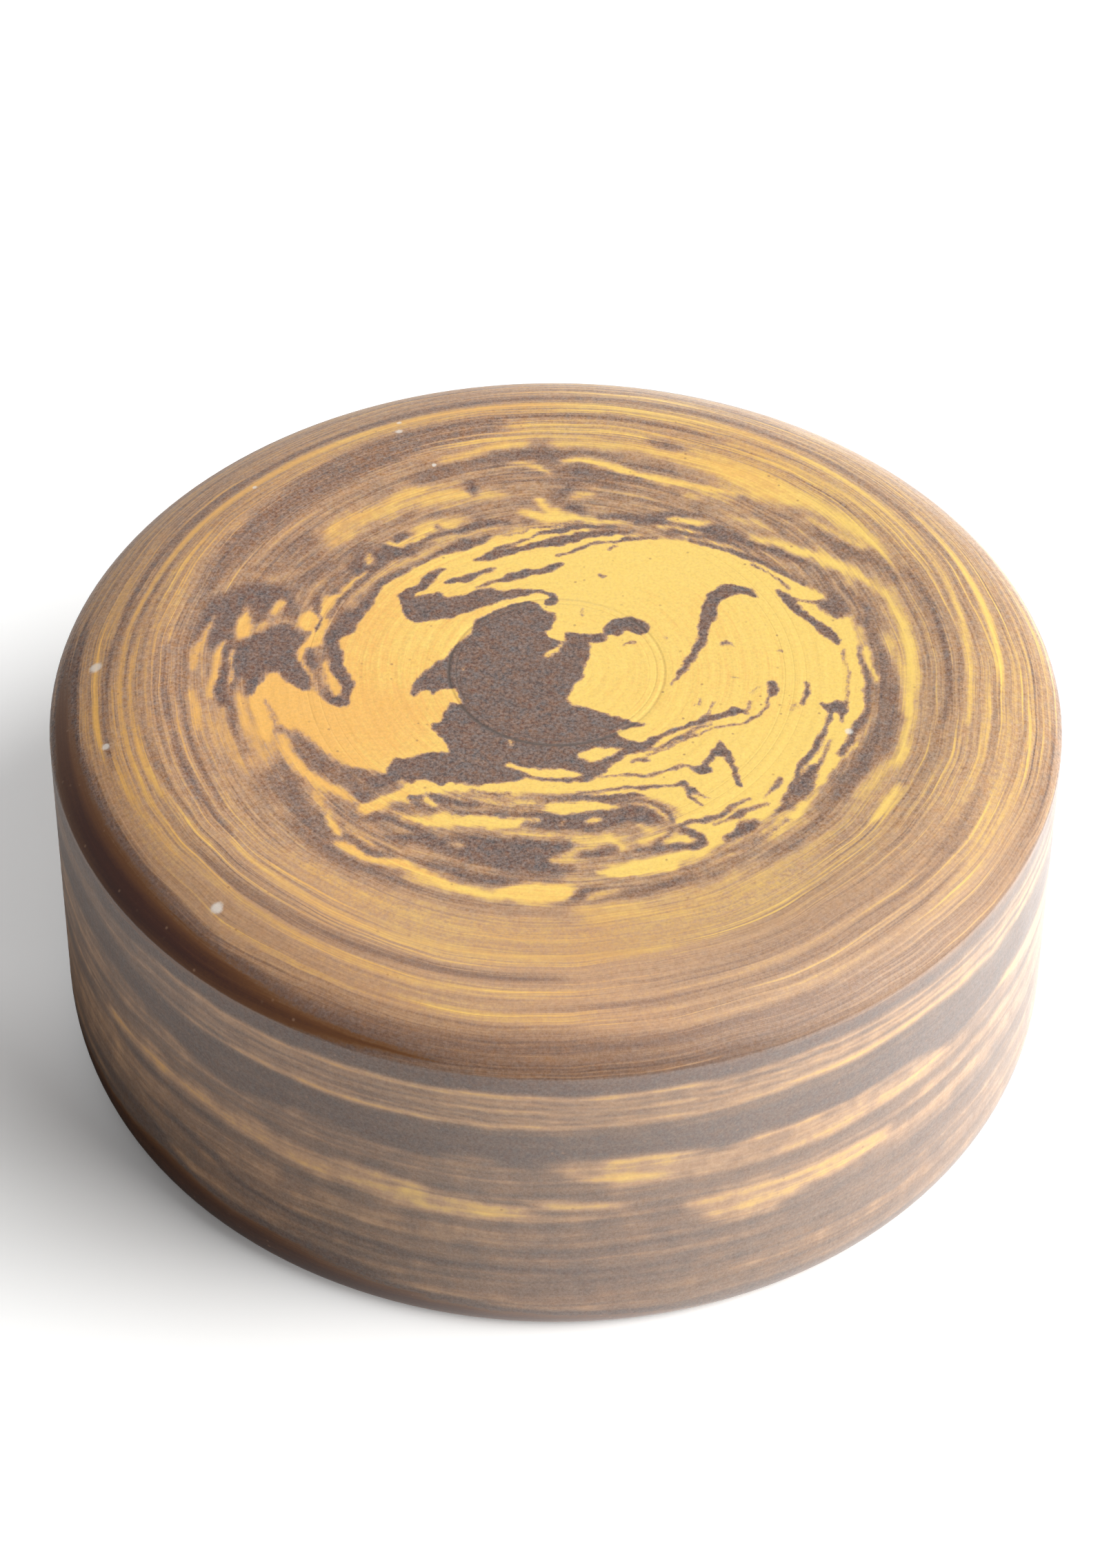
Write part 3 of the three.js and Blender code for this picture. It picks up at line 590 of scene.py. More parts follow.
# Streaks round the top, the shoulder and the wall: tone, softness, mottle, then azimuth in degrees
# (0 is the right side and 270 the front), distance down the section from the middle, and half width
clayRings = [
    # the whole ring outside the churned top
    (.47, 6, .45, [(0, 106, 26), (360, 106, 26)]),
    (.4, 9, .45, [(30, 97, 1), (70, 96, 8), (110, 97, 8), (150, 98, 1)]),
    (.38, 5, .5, [(150, 113, -1), (175, 112, 4), (205, 109, 5), (225, 108, 2), (235, 107, -2)]),
    (.4, 9, .15, [(222, 88, 2), (245, 90, 8), (270, 92, 12), (295, 90, 8), (318, 87, 2)]),
    (.47, 6, .18, [(190, 114, 1), (220, 112, 6), (270, 110, 11), (320, 110, 8), (350, 112, 2)]),
    (.66, 4, .34, [(95, 96, 2), (130, 93, 5), (160, 94, 4), (178, 94, -2)]),
    (.54, 4, .34, [(158, 93, 1), (180, 93, 4), (200, 93, 3), (215, 94, 1)]),
    # lines that can be followed on the top's outer ring
    (.12, 1.2, .2, [(22, 105, .3), (45, 105.3, .5), (60, 105.2, .5), (75, 104.3, .6), (90, 104.6, .9),
     (115, 104.9, 1), (135, 105.8, .9), (152, 106.9, .7), (168, 107.2, .3)]),
    (.22, 1.7, .26, [(140, 96.5, .2), (146, 98, .5), (152, 99.8, .6), (160, 100.4, .6), (174, 100.2, .3)]),
    (.22, 1.7, .26, [(168, 96.4, .2), (176, 96.9, .5), (184, 97, .5), (190, 96.3, .2)]),
    (.26, 1.7, .26, [(194, 102.2, .3), (200, 103.1, .6), (208, 102, .6), (222, 100.2, .3)]),
    (.78, 1.5, .24, [(190, 95.5, .4), (205, 95.8, .9), (222, 95.9, .4)]),
    (.36, 2, .26, [(204, 108.6, .3), (215, 107, .7), (235, 106.6, .9), (255, 107.6, 1.2),
     (280, 107.8, 1.3), (310, 107.6, .9), (340, 106.8, .6), (364, 106, .3)]),
    (.39, 2, .26, [(222, 114.6, .4), (245, 113.6, 1), (275, 113.8, 1.3), (305, 113.4, 1.2),
     (340, 112.6, .8), (370, 112, .4)]),
    (.34, 2, .26, [(240, 118.4, .4), (262, 118.2, .9), (290, 118.2, 1), (325, 117.6, .8), (352, 117, .3)]),
    (.26, 1.7, .26, [(30, 100.4, .3), (48, 99.6, .6), (66, 100.4, .4)]),
    (.28, 2, .26, [(330, 96.6, .3), (348, 97.5, .8), (368, 98.6, .7), (385, 98, .3)]),
    (.32, 1.7, .26, [(212, 96.8, .3), (232, 97.4, .8), (262, 97, .9), (290, 96.6, .5)]),
    (.7, 2.1, .24, [(60, 98.4, .4), (85, 98.8, .8), (120, 98.2, .9), (140, 97.4, .4)]),
    (.68, 1.8, .24, [(10, 110, .4), (60, 109.2, .8), (110, 108.4, 1), (160, 110.2, 1.3), (200, 111.8, .6)]),
    (.7, 2.4, .25, [(196, 104.8, .3), (225, 103.8, .9), (255, 103.2, .8), (275, 102.6, .3)]),
    (.58, 5, .2, [(262, 110, -3), (285, 110, 5), (310, 111, 8), (330, 110, 3), (346, 109, -3)]),
    (.5, 6, .3, [(330, 92, 1), (350, 96, 7), (370, 97, 8), (390, 96, 5), (405, 95, 1)]),
    (.43, 6, .3, [(130, 100, -3), (160, 101, 5), (190, 101, 4), (206, 101, 1), (220, 102, -3)]),
    (.64, 5, .2, [(228, 119, 1), (250, 119, 2), (280, 119.4, 2.4), (305, 119, 1)]),
    (.4, 1.2, .2, [(272, 113.2, .2), (290, 113.4, .7), (312, 113, .7), (332, 112.4, .3)]),
    (.38, 1, .2, [(262, 108.6, .2), (284, 108.6, .6), (306, 108, .6), (330, 107.4, .2)]),
    (.36, 1, .2, [(270, 116.4, .2), (295, 116.6, .5), (330, 116, .5), (345, 115.6, .2)]),
    (.12, 1.2, .2, [(355, 110, .2), (362, 110, .5), (370, 110.8, .8), (376, 111.1, 1), (381, 111.4, .9),
     (387, 111.8, .6), (400, 112, .2)]),
    (.24, 1, .2, [(345, 101.3, .3), (363, 102.1, .6), (372, 103.3, .7), (381, 105, .6), (390, 106, .2)]),
    (.85, 1, .2, [(345, 95.6, .2), (360, 96.6, .5), (375, 97, .5), (388, 96, .2)]),
    (.2, 1, .2, [(172, 104.6, .2), (178, 105.2, .6), (190, 105.4, .7), (200, 104.2, .5), (210, 103, .2)]),
    (.2, 1, .2, [(158, 107.2, .4), (168, 106.7, .7), (180, 107, .7), (190, 107, .6), (198, 106, .4),
     (206, 105, .2)]),
    (.3, 1, .2, [(146, 103.4, .2), (154, 102.4, .5), (163, 102.2, .6), (172, 101, .4), (178, 100.4, .2)]),
    (.34, 1, .2, [(155, 112.8, .2), (164, 113, .5), (172, 111.6, .4), (178, 111, .2)]),
    (.74, 1, .2, [(170, 96.6, .2), (180, 96.6, .5), (188, 96, .5), (196, 95, .2)]),
    (.3, 1, .2, [(192, 110.4, .2), (199, 110.6, .6), (208, 109.6, .6), (220, 108.6, .2)]),
    (.64, 1.8, .2, [(150, 104.2, -.6), (165, 105.6, .4), (180, 106, .5), (195, 105.8, .4),
     (210, 104.6, -.6)]),
    (.62, 1.8, .2, [(155, 102.2, -.6), (170, 102.8, .7), (185, 102.8, .9), (200, 101.8, .7),
     (215, 101, -.6)]),
    (.68, 1.8, .2, [(165, 98.4, -.6), (178, 98.7, .4), (190, 98.4, .4), (205, 97.6, -.6)]),
    # the wall, from its top down
    (.63, 5, .42, [(0, 172, 46), (360, 172, 46)]),
    (.68, 9, .36, [(195, 194, -5), (215, 190, 6), (232, 190, 3), (250, 188, 2), (275, 196, 8),
     (300, 194, 5), (325, 194, -5)]),
    # painted shade low on the wall at the left, in a tone past the dark clay
    (1.15, 6, .3, [(196, 199, -3), (215, 198, 2.5), (228, 203, -3)]),
    (.86, 3, .26, [(0, 130.4, 1.5), (90, 130.8, 2), (180, 130.6, 2.6), (270, 130.6, 2.5),
     (360, 130.4, 1.5)]),
    (.74, 8, .25, [(236, 124.5, -4), (255, 124.5, 1), (270, 124.5, 2), (285, 124, 1.6), (310, 124, 1),
     (340, 124, 0), (360, 124, -3)]),
    (.52, 6, .3, [(285, 127, -3), (310, 127, 2), (340, 127, 2), (365, 127, -3)]),
    # painted shade on the shoulder at the left, in tones past the dark clay
    (1.5, 7, .2, [(158, 121.6, -4), (175, 121.6, -.5), (188, 122.2, 1.6), (200, 122.4, 3.4),
     (215, 122.4, 3.8), (230, 123, 2.6), (245, 124.4, .6), (264, 125, -4)]),
    (.84, 5, .4, [(226, 122.6, -3), (243, 123.4, 2.2), (258, 124.2, 1.4), (276, 124.6, -3)]),
    # more painted shade on the shoulder at the left
    (2, 6, .1, [(165, 124, -2.5), (185, 124, -.5), (200, 124.2, 1), (215, 124.8, 2.4), (230, 125, 1.4),
     (245, 125.2, -.3), (262, 125.4, -2.5)]),
    (.68, 3, .3, [(90, 139, 2), (180, 138.5, 3), (220, 139, 4.5), (300, 139.5, 5), (360, 139, 3),
     (450, 139, 2)]),
    (.84, 4, .3, [(270, 136, -3), (288, 136.5, 2), (315, 135.8, 2.6), (338, 135.5, -3)]),
    (.8, 2, .3, [(285, 140.4, -2), (305, 140.4, .8), (345, 140.6, 1.4), (362, 140.6, -2)]),
    (.4, 1.1, .28, [(218, 134, .2), (223, 134.2, .6), (229, 134.4, .7), (240, 134.4, .5), (250, 134.2, .7),
     (265, 134.2, .7), (300, 134.4, .6), (345, 135, .2)]),
    (.42, 1, .28, [(226, 136.4, .1), (240, 136.6, .4), (262, 136.6, .5), (285, 136.4, .4),
     (310, 136.8, .4), (340, 137, .1)]),
    (.4, 1.1, .28, [(206, 139.6, .2), (222, 139.2, .5), (240, 139.2, .6), (258, 139, .7), (275, 139, .7),
     (300, 138.6, .6), (330, 139.2, .8), (350, 139.5, .2)]),
    (.44, 1, .28, [(222, 141.2, .1), (240, 141.6, .4), (265, 141.4, .5), (290, 140.8, .4),
     (330, 141.2, .2)]),
    (.38, 1.2, .28, [(228, 143.2, .2), (234, 143.8, .6), (246, 144.1, .8), (256, 144, .7),
     (268, 143.6, .5), (285, 143, .6), (310, 142.4, .9), (338, 142.8, 1.1), (356, 143, .3)]),
    (.86, 2.6, .24, [(40, 151, 3), (90, 150, 4), (150, 149, 4), (195, 146.8, 4.5), (205, 146, 5),
     (210, 145.8, 4.3), (216, 148, 4.5), (222, 149.5, 4.5), (226, 151, 5.5), (232, 152.1, 6.5),
     (237, 151.6, 6), (241, 149.9, 4.3), (246, 149.7, 4.1), (250, 151.2, 5.4), (256, 151.7, 5.9),
     (260, 150.6, 4.6), (264, 150.3, 4.3), (267, 152.9, 6.9), (270, 150.7, 4.7), (278, 150.2, 4.2),
     (285, 150.4, 4.4), (288, 152, 6), (291, 151.1, 4.9), (300, 151.7, 4.9), (312, 152.3, 5.3),
     (320, 153.7, 6.7), (326, 153.5, 6.1), (332, 152.8, 5.4), (345, 152.5, 5), (372, 151.5, 3.5),
     (400, 151, 3)]),
    (.72, 3, .3, [(180, 170, 2), (200, 176, 3), (214, 165, 1), (228, 165, 1.2), (240, 164.8, .2),
     (262, 167.2, .6), (280, 168.6, 1.6), (300, 168.2, 2), (330, 168.4, 1.6), (350, 169, .5)]),
    (.46, 3, .45, [(268, 159, .2), (271.5, 159.5, 2.2), (276, 159.8, 4.2), (282, 160, 4.2),
     (286, 160.6, 3.2), (292, 161.2, 2), (298, 162, .3)]),
    (.28, 1.6, .34, [(270, 162, .2), (273.5, 161.9, 1.2), (278, 162, 1.6), (283, 163, 1),
     (286, 163.4, .3)]),
    (.32, 1.6, .34, [(271, 157.6, .2), (275, 157, .8), (284, 156.4, .9), (287, 156.8, .2)]),
    (.48, 2.4, .5, [(285, 160, .2), (290, 160.4, 2.2), (293, 160.6, 4.2), (300, 161, 4.4),
     (308, 161.3, 4.4), (314, 161.4, 3.8), (318, 161.6, 2.8), (321, 161.8, .3)]),
    (.44, 2, .45, [(325.5, 158.6, .2), (330, 160, 1.6), (337, 161.8, 3), (344, 163.6, 3.4),
     (351, 165.6, 1.8), (356, 167, .3)]),
    (.4, 2.2, .5, [(206, 173.4, .3), (211, 171.6, .9), (218, 170.4, 1.6), (226, 170, 2.4),
     (236, 170.4, 2.9), (246, 170.8, 3.7), (254, 171.4, 3.6), (261, 173, 2.7), (268, 174.6, 1.8),
     (272, 175.4, .3)]),
    (.24, 1.8, .42, [(256, 172.8, .3), (260, 173.2, 1.2), (265, 174.4, 1.3), (269, 175.4, .4)]),
    (.36, 2, .44, [(264, 170.8, .3), (268, 171, 1.4), (275, 171.6, 1.6), (282, 172.8, .3)]),
    (.5, 3, .42, [(308, 171.4, .4), (314, 171.6, 1.8), (325, 171.8, 2.6), (336, 172.6, 2.4),
     (352, 174, .8)]),
    (.4, 2, .5, [(281, 174.6, .3), (283, 174.9, 1.2), (286, 176, 2.7), (288, 178.4, 5.2), (291, 179, 5.9),
     (294, 179.4, 6.7), (296, 178.8, 5.9), (298, 177, 4.2), (300, 176.6, 3.6), (302, 177.4, 4.4),
     (305, 177, 3.2), (308, 176.6, 2.4), (312, 176.4, .6), (313, 176.4, .2)]),
    (.26, 1.6, .34, [(299.5, 184, .3), (301, 184.6, 2.2), (303, 184.6, 2.2), (304.5, 183, .3)]),
    (.7, 1.4, .3, [(297.5, 180.4, .2), (299, 180.4, 1.2), (301.5, 180.8, .9), (303, 181, .2)]),
    (.84, 2.2, .28, [(210, 176.6, .3), (216, 176.4, 1), (232, 176.6, 1.2), (244, 177.4, 1),
     (256, 177.6, .3)]),
    (.6, 3, .4, [(214, 181, .3), (220, 180.4, 2), (228, 182, 3), (240, 183.4, 2.6), (252, 183, 3.4),
     (266, 182, 2), (280, 184, .5)]),
    (.68, 4, .38, [(255, 188, .5), (270, 188.5, 3.5), (290, 190, 4), (310, 188, 4), (335, 186, 3),
     (350, 186, 1)]),
    (.88, 1.8, .26, [(214, 184, .3), (219, 187.6, 1.2), (225, 187.4, 1.4), (230, 189.6, 1.4),
     (234, 192.4, .9), (242, 194.2, .8), (248, 193.4, .8), (256, 194.4, .8), (266, 194.2, .8),
     (276, 195, .6), (290, 196.6, .4)]),
    (.62, 2.4, .4, [(225, 201.6, .3), (228, 201.8, 1.8), (231.5, 202, 2.2), (234, 202.2, .3)]),
    (.88, 3, .3, [(212, 204, .5), (218, 204.2, 3), (224, 204.6, 2.6), (229, 206.6, .8), (236, 206.5, .6),
     (243, 204.6, 2.2), (249, 205, 1.6), (254, 206, .4)]),
    (.86, 3, .28, [(0, 214.5, 2.6), (90, 214.5, 2.6), (180, 214, 3), (270, 214.5, 2.6), (360, 214.5, 2.6)]),
    # painted shade round the hem at the left, in tones past the dark clay
    (1.8, 6, .26, [(178, 212, -3), (195, 211, 4), (215, 210, 6.4), (235, 211, 6), (255, 213, 4),
     (275, 214.6, 1.6), (300, 216.5, -3)]),
    # round the back of the wall, which the photograph doesn't show
    (.32, 2.4, .42, [(20, 165, .4), (32, 163, 2.8), (48, 162, 4.2), (62, 164, 3), (74, 165, .5)]),
    (.3, 3, .28, [(60, 177, .5), (85, 174, 2.2), (120, 172, 2.6), (150, 174, 1.8), (172, 177, .5)]),
    (.3, 2.4, .42, [(112, 162, .4), (124, 162, 2.6), (138, 161, 3.4), (150, 161.6, 1.2), (156, 162, .3)]),
    (.9, 2.4, .24, [(10, 190, .4), (50, 187, 1.2), (90, 190, 1.4), (135, 193, 1), (160, 191, .3)]),
]


# The lid

lid = {
    "height": 101, "radius": 125, "flare": 1.1,
    "shoulderRun": 27, "shoulderDrop": 11, "shoulderFullness": 1.47,
    "hemRun": 3.4, "hemRise": 10.5, "hemGap": 0.8, "hemInnerRounding": 1.6,
    "wall": 6, "roof": 10, "roofFillet": 6,
    # the line that the trimming tool left round the middle
    "grooveRadius": 26.6, "grooveDepth": 0.05, "grooveWidth": 0.3,
    # height of the turning marks, their lengths, and where down the section they come and go
    "ripple": 0.02, "rippleLengths": (3.1, 7.3), "rippleComes": (3, 9), "rippleGoes": (212, 202),
    # bands of the flat top's mesh, finest where the drawing is: radius where each ends, rings, points round
    "topBands": [(18, 30, 160), (26, 13, 320), (27.2, 6, 320), (36, 13, 320), (78, 68, 640), (90, 18, 320)],
    "shoulderSteps": 52,
    # the clay before it is painted, and the distances down the section where its painting changes
    "plain": {"clay": 0.55, "mottle": 0.42},
    "topEnds": 99,
    "ringsTakeOver": (80, 89),  # the streaks drawn as rings take over from the top's own drawing
    "ringsWaver": (122, 134),
    "outsideEnds": 220,
}


def lidSection(form):
    # flat top, a shoulder whose radius and height follow powers of a cosine and a sine, wall, hem, inside
    top = form["height"]
    flatEdge = form["radius"] - form["shoulderRun"]
    wallTop = top - form["shoulderDrop"]
    ceiling = top - form["roof"]
    hemRadius = form["radius"] + form["flare"]
    hemInner = hemRadius - form["wall"]
    roofInner = form["radius"] - form["wall"]
    power = 2 / form["shoulderFullness"]
    angle = np.linspace(math.pi / 2, 0, form["shoulderSteps"] + 1)
    shoulder = np.column_stack([
        form["radius"] - form["shoulderRun"] * (1 - np.cos(angle) ** power),
        wallTop + form["shoulderDrop"] * np.sin(angle) ** power,
    ])
    shoulder[0] = (flatEdge, top)
    hemCentre = (hemRadius - form["hemRun"], form["hemGap"] + form["hemRise"])
    rounding = form["hemInnerRounding"]
    fillet = form["roofFillet"]
    stretches = []
    reached = 0
    for radius, rings, count in form["topBands"] + [(flatEdge, 11, pointsRound)]:
        stretches.append((line((reached, top), (radius, top), rings), count))
        reached = radius
    stretches += [
        (shoulder, pointsRound),
        (line((form["radius"], wallTop), (hemRadius, hemCentre[1]), 96), pointsRound),
        (arc(*hemCentre, form["hemRun"], form["hemRise"], 0, -90, 14), pointsRound),
        (line((hemCentre[0], form["hemGap"]), (hemInner + rounding, form["hemGap"]), 1), pointsRound),
        (arc(hemInner + rounding, form["hemGap"] + rounding, rounding, rounding, 270, 180, 5), fewRound),
        (line((hemInner, form["hemGap"] + rounding), (roofInner, ceiling - fillet), 12), fewRound),
        (arc(roofInner - fillet, ceiling - fillet, fillet, fillet, 0, 90, 6), fewRound),
        (line((roofInner - fillet, ceiling), (0, ceiling), 22), fewRound),
    ]
    return joinStretches(stretches)


def lidRelief(along, turn):
    # fine turning marks, as two sine waves down the section, on the outside only, and one narrow groove
    short, long = (2 * math.pi * along / length for length in lid["rippleLengths"])
    marks = np.sin(short) + 0.7 * np.sin(long + 1) - 1.7
    shown = rise(along, *lid["rippleComes"]) * rise(along, *lid["rippleGoes"])
    groove = lid["grooveDepth"] * np.exp(-((along - lid["grooveRadius"]) / lid["grooveWidth"]) ** 2)
    return lid["ripple"] * marks * shown - groove


def swirlTone(x, y, twist, seed):
    # two crossed sine waves in coordinates that turn more the nearer they are to the middle
    radius = np.hypot(x, y)
    turn = twist * np.exp(-(radius / 60) ** 2) + 0.5 * np.sin(radius / 19 + seed)
    u = x * np.cos(turn) - y * np.sin(turn)
    v = x * np.sin(turn) + y * np.cos(turn)
    wave = np.sin(u / 14 + 1.3 * np.sin(v / 21 + seed)) + 0.7 * np.sin(v / 10 + u / 27 + 2 * seed)
    return np.clip(0.5 + 0.9 * wave, 0, 1)


def dragged(x, y):
    # the drawing's own coordinates, each moved by a sum of short sine waves, so that no edge runs true
    moved = []
    for own, other, seed in ((x, y, 0.0), (y, x, 1.7)):
        wave = 0.26 * np.sin(other / 1.9 + 1.4 * np.sin(own / 3.1 + seed) + seed)
        wave += 0.17 * np.sin(own / 0.9 + other / 1.3 + 1.1 * np.sin(other / 2.3 - seed))
        wave += 0.13 * np.sin(other / 0.52 - own / 0.71 + 2 * seed)
        moved.append(own + wave)
    return moved


marbledLid, lidPoints, lidAlong, lidTurn = spinMesh("marbledLid", *lidSection(lid), lidRelief)
lidClay = {name: np.full(len(lidAlong), value) for name, value in lid["plain"].items()}
onTop = lidAlong < lid["topEnds"]
topX, topY = dragged(lidPoints[onTop, 0], lidPoints[onTop, 1])
topClay = {name: values[onTop] for name, values in lidClay.items()}
for tone, soft, mottle, points in mixedZones:
    layClay(topClay, fieldDepth(topX, topY, points), tone, soft, mottle)
# on the wall the streaks are moved down the section by a sum of sine waves of the turn, so their edges waver
waver = 0.3 * np.sin(19 * lidTurn + lidAlong / 9) + 0.26 * np.sin(35 * lidTurn + 2 * np.sin(11 * lidTurn))
waver += 0.16 * np.sin(52 * lidTurn + lidAlong / 5 + np.sin(7 * lidTurn))
wavering = lidAlong + waver * rise(lidAlong, *lid["ringsWaver"])
for tone, soft, mottle, points in clayRings:
    depth = ringDepth(np.degrees(lidTurn), wavering, points)
    layClay(lidClay, depth, tone, max(soft, laying["ringSoftLeast"]), mottle)
# towards the middle the streaks give way to the top's own drawing
for name, values in lidClay.items():
    topClay[name] += (values[onTop] - topClay[name]) * rise(lidAlong[onTop], *lid["ringsTakeOver"])
layOnTop(topClay, topX, topY, clayFields, fieldDepth)
layOnTop(topClay, topX, topY, clayThreads, threadDepth)
for name, values in lidClay.items():
    values[onTop] = topClay[name]
# inside the lid the marbling is a plain swirl
hidden = lidAlong >= lid["outsideEnds"]
lidClay["clay"][hidden] = 0.35 + 0.45 * swirlTone(lidPoints[hidden, 0], lidPoints[hidden, 1], 2.2, 0.8)
lidClay["mottle"][hidden] = 0.4
writeAttributes(marbledLid, **lidClay, along=lidAlong)
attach(marbledLid, "lid")
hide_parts("lid")
print("lid made with", len(lidAlong), "points")


# The bowl

bowl = {
    "wall": 6, "floorThickness": 6.5, "floorFillet": 14, "rimRounding": 2.8,
    "heelRun": 12, "heelRise": 14, "footWidth": 14, "footRecess": 2.5, "footSlope": 3,
    "fitClearance": 1.6, "seatGap": 0.3, "seatInset": 0.2,
    # height of the throwing rings inside, their length, and where down the section they come and go
    "ripple": 0.09, "rippleLength": 7.5, "rippleComes": (5, 15), "rippleGoes": (176, 168),
    "coarseRadius": 24,  # fewer points go round within this radius
    "drawnUp": (66, 96),  # radius where the swirl begins to be drawn out into bands, and is bands alone
}


def bowlSection(form, cover):
    # from the middle of the floor up the inside, over the rim, down the outside and under the foot
    hemInner = cover["radius"] + cover["flare"] - cover["wall"]
    ceiling = cover["height"] - cover["roof"]
    heelRadius = hemInner - form["fitClearance"]
    rounding = form["rimRounding"]
    edgeHeight = ceiling - form["seatGap"] - rounding
    outerEdge = cover["radius"] - cover["wall"] - cover["roofFillet"] - form["seatInset"]
    innerEdge = outerEdge + 2 * rounding - form["wall"]
    footOuter = heelRadius - form["heelRun"]
    footInner = footOuter - form["footWidth"]
    footSlopeEnd = (footInner - form["footSlope"], form["footRecess"])
    floorTop = form["footRecess"] + form["floorThickness"]
    fillet = form["floorFillet"]
    floorCentre = (heelRadius - form["wall"] - fillet, floorTop + fillet)
    coarse = (form["coarseRadius"], floorTop)
    wallFoot = (floorCentre[0] + fillet, floorCentre[1])
    return joinStretches([
        (line((0, floorTop), coarse, 24), fewRound),
        (line(coarse, (floorCentre[0], floorTop), 66), pointsRound),
        (arc(*floorCentre, fillet, fillet, -90, 0, 18), pointsRound),
        (line(wallFoot, (innerEdge - rounding, edgeHeight), 52), pointsRound),
        (arc(innerEdge, edgeHeight, rounding, rounding, 180, 90, 6), pointsRound),
        (arc(outerEdge, edgeHeight, rounding, rounding, 90, 0, 6), pointsRound),
        (line((outerEdge + rounding, edgeHeight), (heelRadius, form["heelRise"]), 60), pointsRound),
        (arc(footOuter, form["heelRise"], form["heelRun"], form["heelRise"], 0, -90, 14), pointsRound),
        (line((footOuter, 0), (footInner, 0), 4), pointsRound),
        (line((footInner, 0), footSlopeEnd, 3), pointsRound),
        (line(footSlopeEnd, (0, form["footRecess"]), 30), fewRound),
    ])


def bowlRelief(along, turn):
    # a shallow spiral left by the fingers: a sine wave down the section that climbs once for each turn
    wave = np.sin(2 * math.pi * along / bowl["rippleLength"] + turn) - 1
    return bowl["ripple"] * wave * rise(along, *bowl["rippleComes"]) * rise(along, *bowl["rippleGoes"])


marbledBowl, bowlPoints, bowlAlong, bowlTurn = spinMesh("marbledBowl", *bowlSection(bowl, lid), bowlRelief)
swirl = swirlTone(bowlPoints[:, 0] + 6, bowlPoints[:, 1] - 4, 3.4, 2.1)
swirl = np.clip(2 * swirl - 0.5, 0, 1)
# the swirl of the floor is drawn out up the wall into bands that wander, pinch and swell round the bowl
drawnUp = rise(np.hypot(bowlPoints[:, 0], bowlPoints[:, 1]), *bowl["drawnUp"])
wander = bowlAlong + 5 * np.sin(bowlTurn + 0.6) + 3 * np.sin(2 * bowlTurn + 1.1 + bowlAlong / 40)
width = 0.5 + 0.5 * np.sin(3 * bowlTurn + bowlAlong / 11 + np.sin(bowlTurn))
bands = 0.66 + 0.3 * width * np.sin(wander / 4.3 + np.sin(wander / 17))
bands -= 0.42 * np.clip(np.sin(2 * bowlTurn + bowlAlong / 9) + np.sin(wander / 6.1) - 1.1, 0, 1)
bowlClay = swirl * (1 - drawnUp) + bands * drawnUp
writeAttributes(marbledBowl, clay=bowlClay, mottle=0.08 + 0.34 * drawnUp, along=bowlAlong)
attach(marbledBowl, "bowl")
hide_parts("bowl")
print("bowl made with", len(bowlAlong), "points")


# The clay's finish

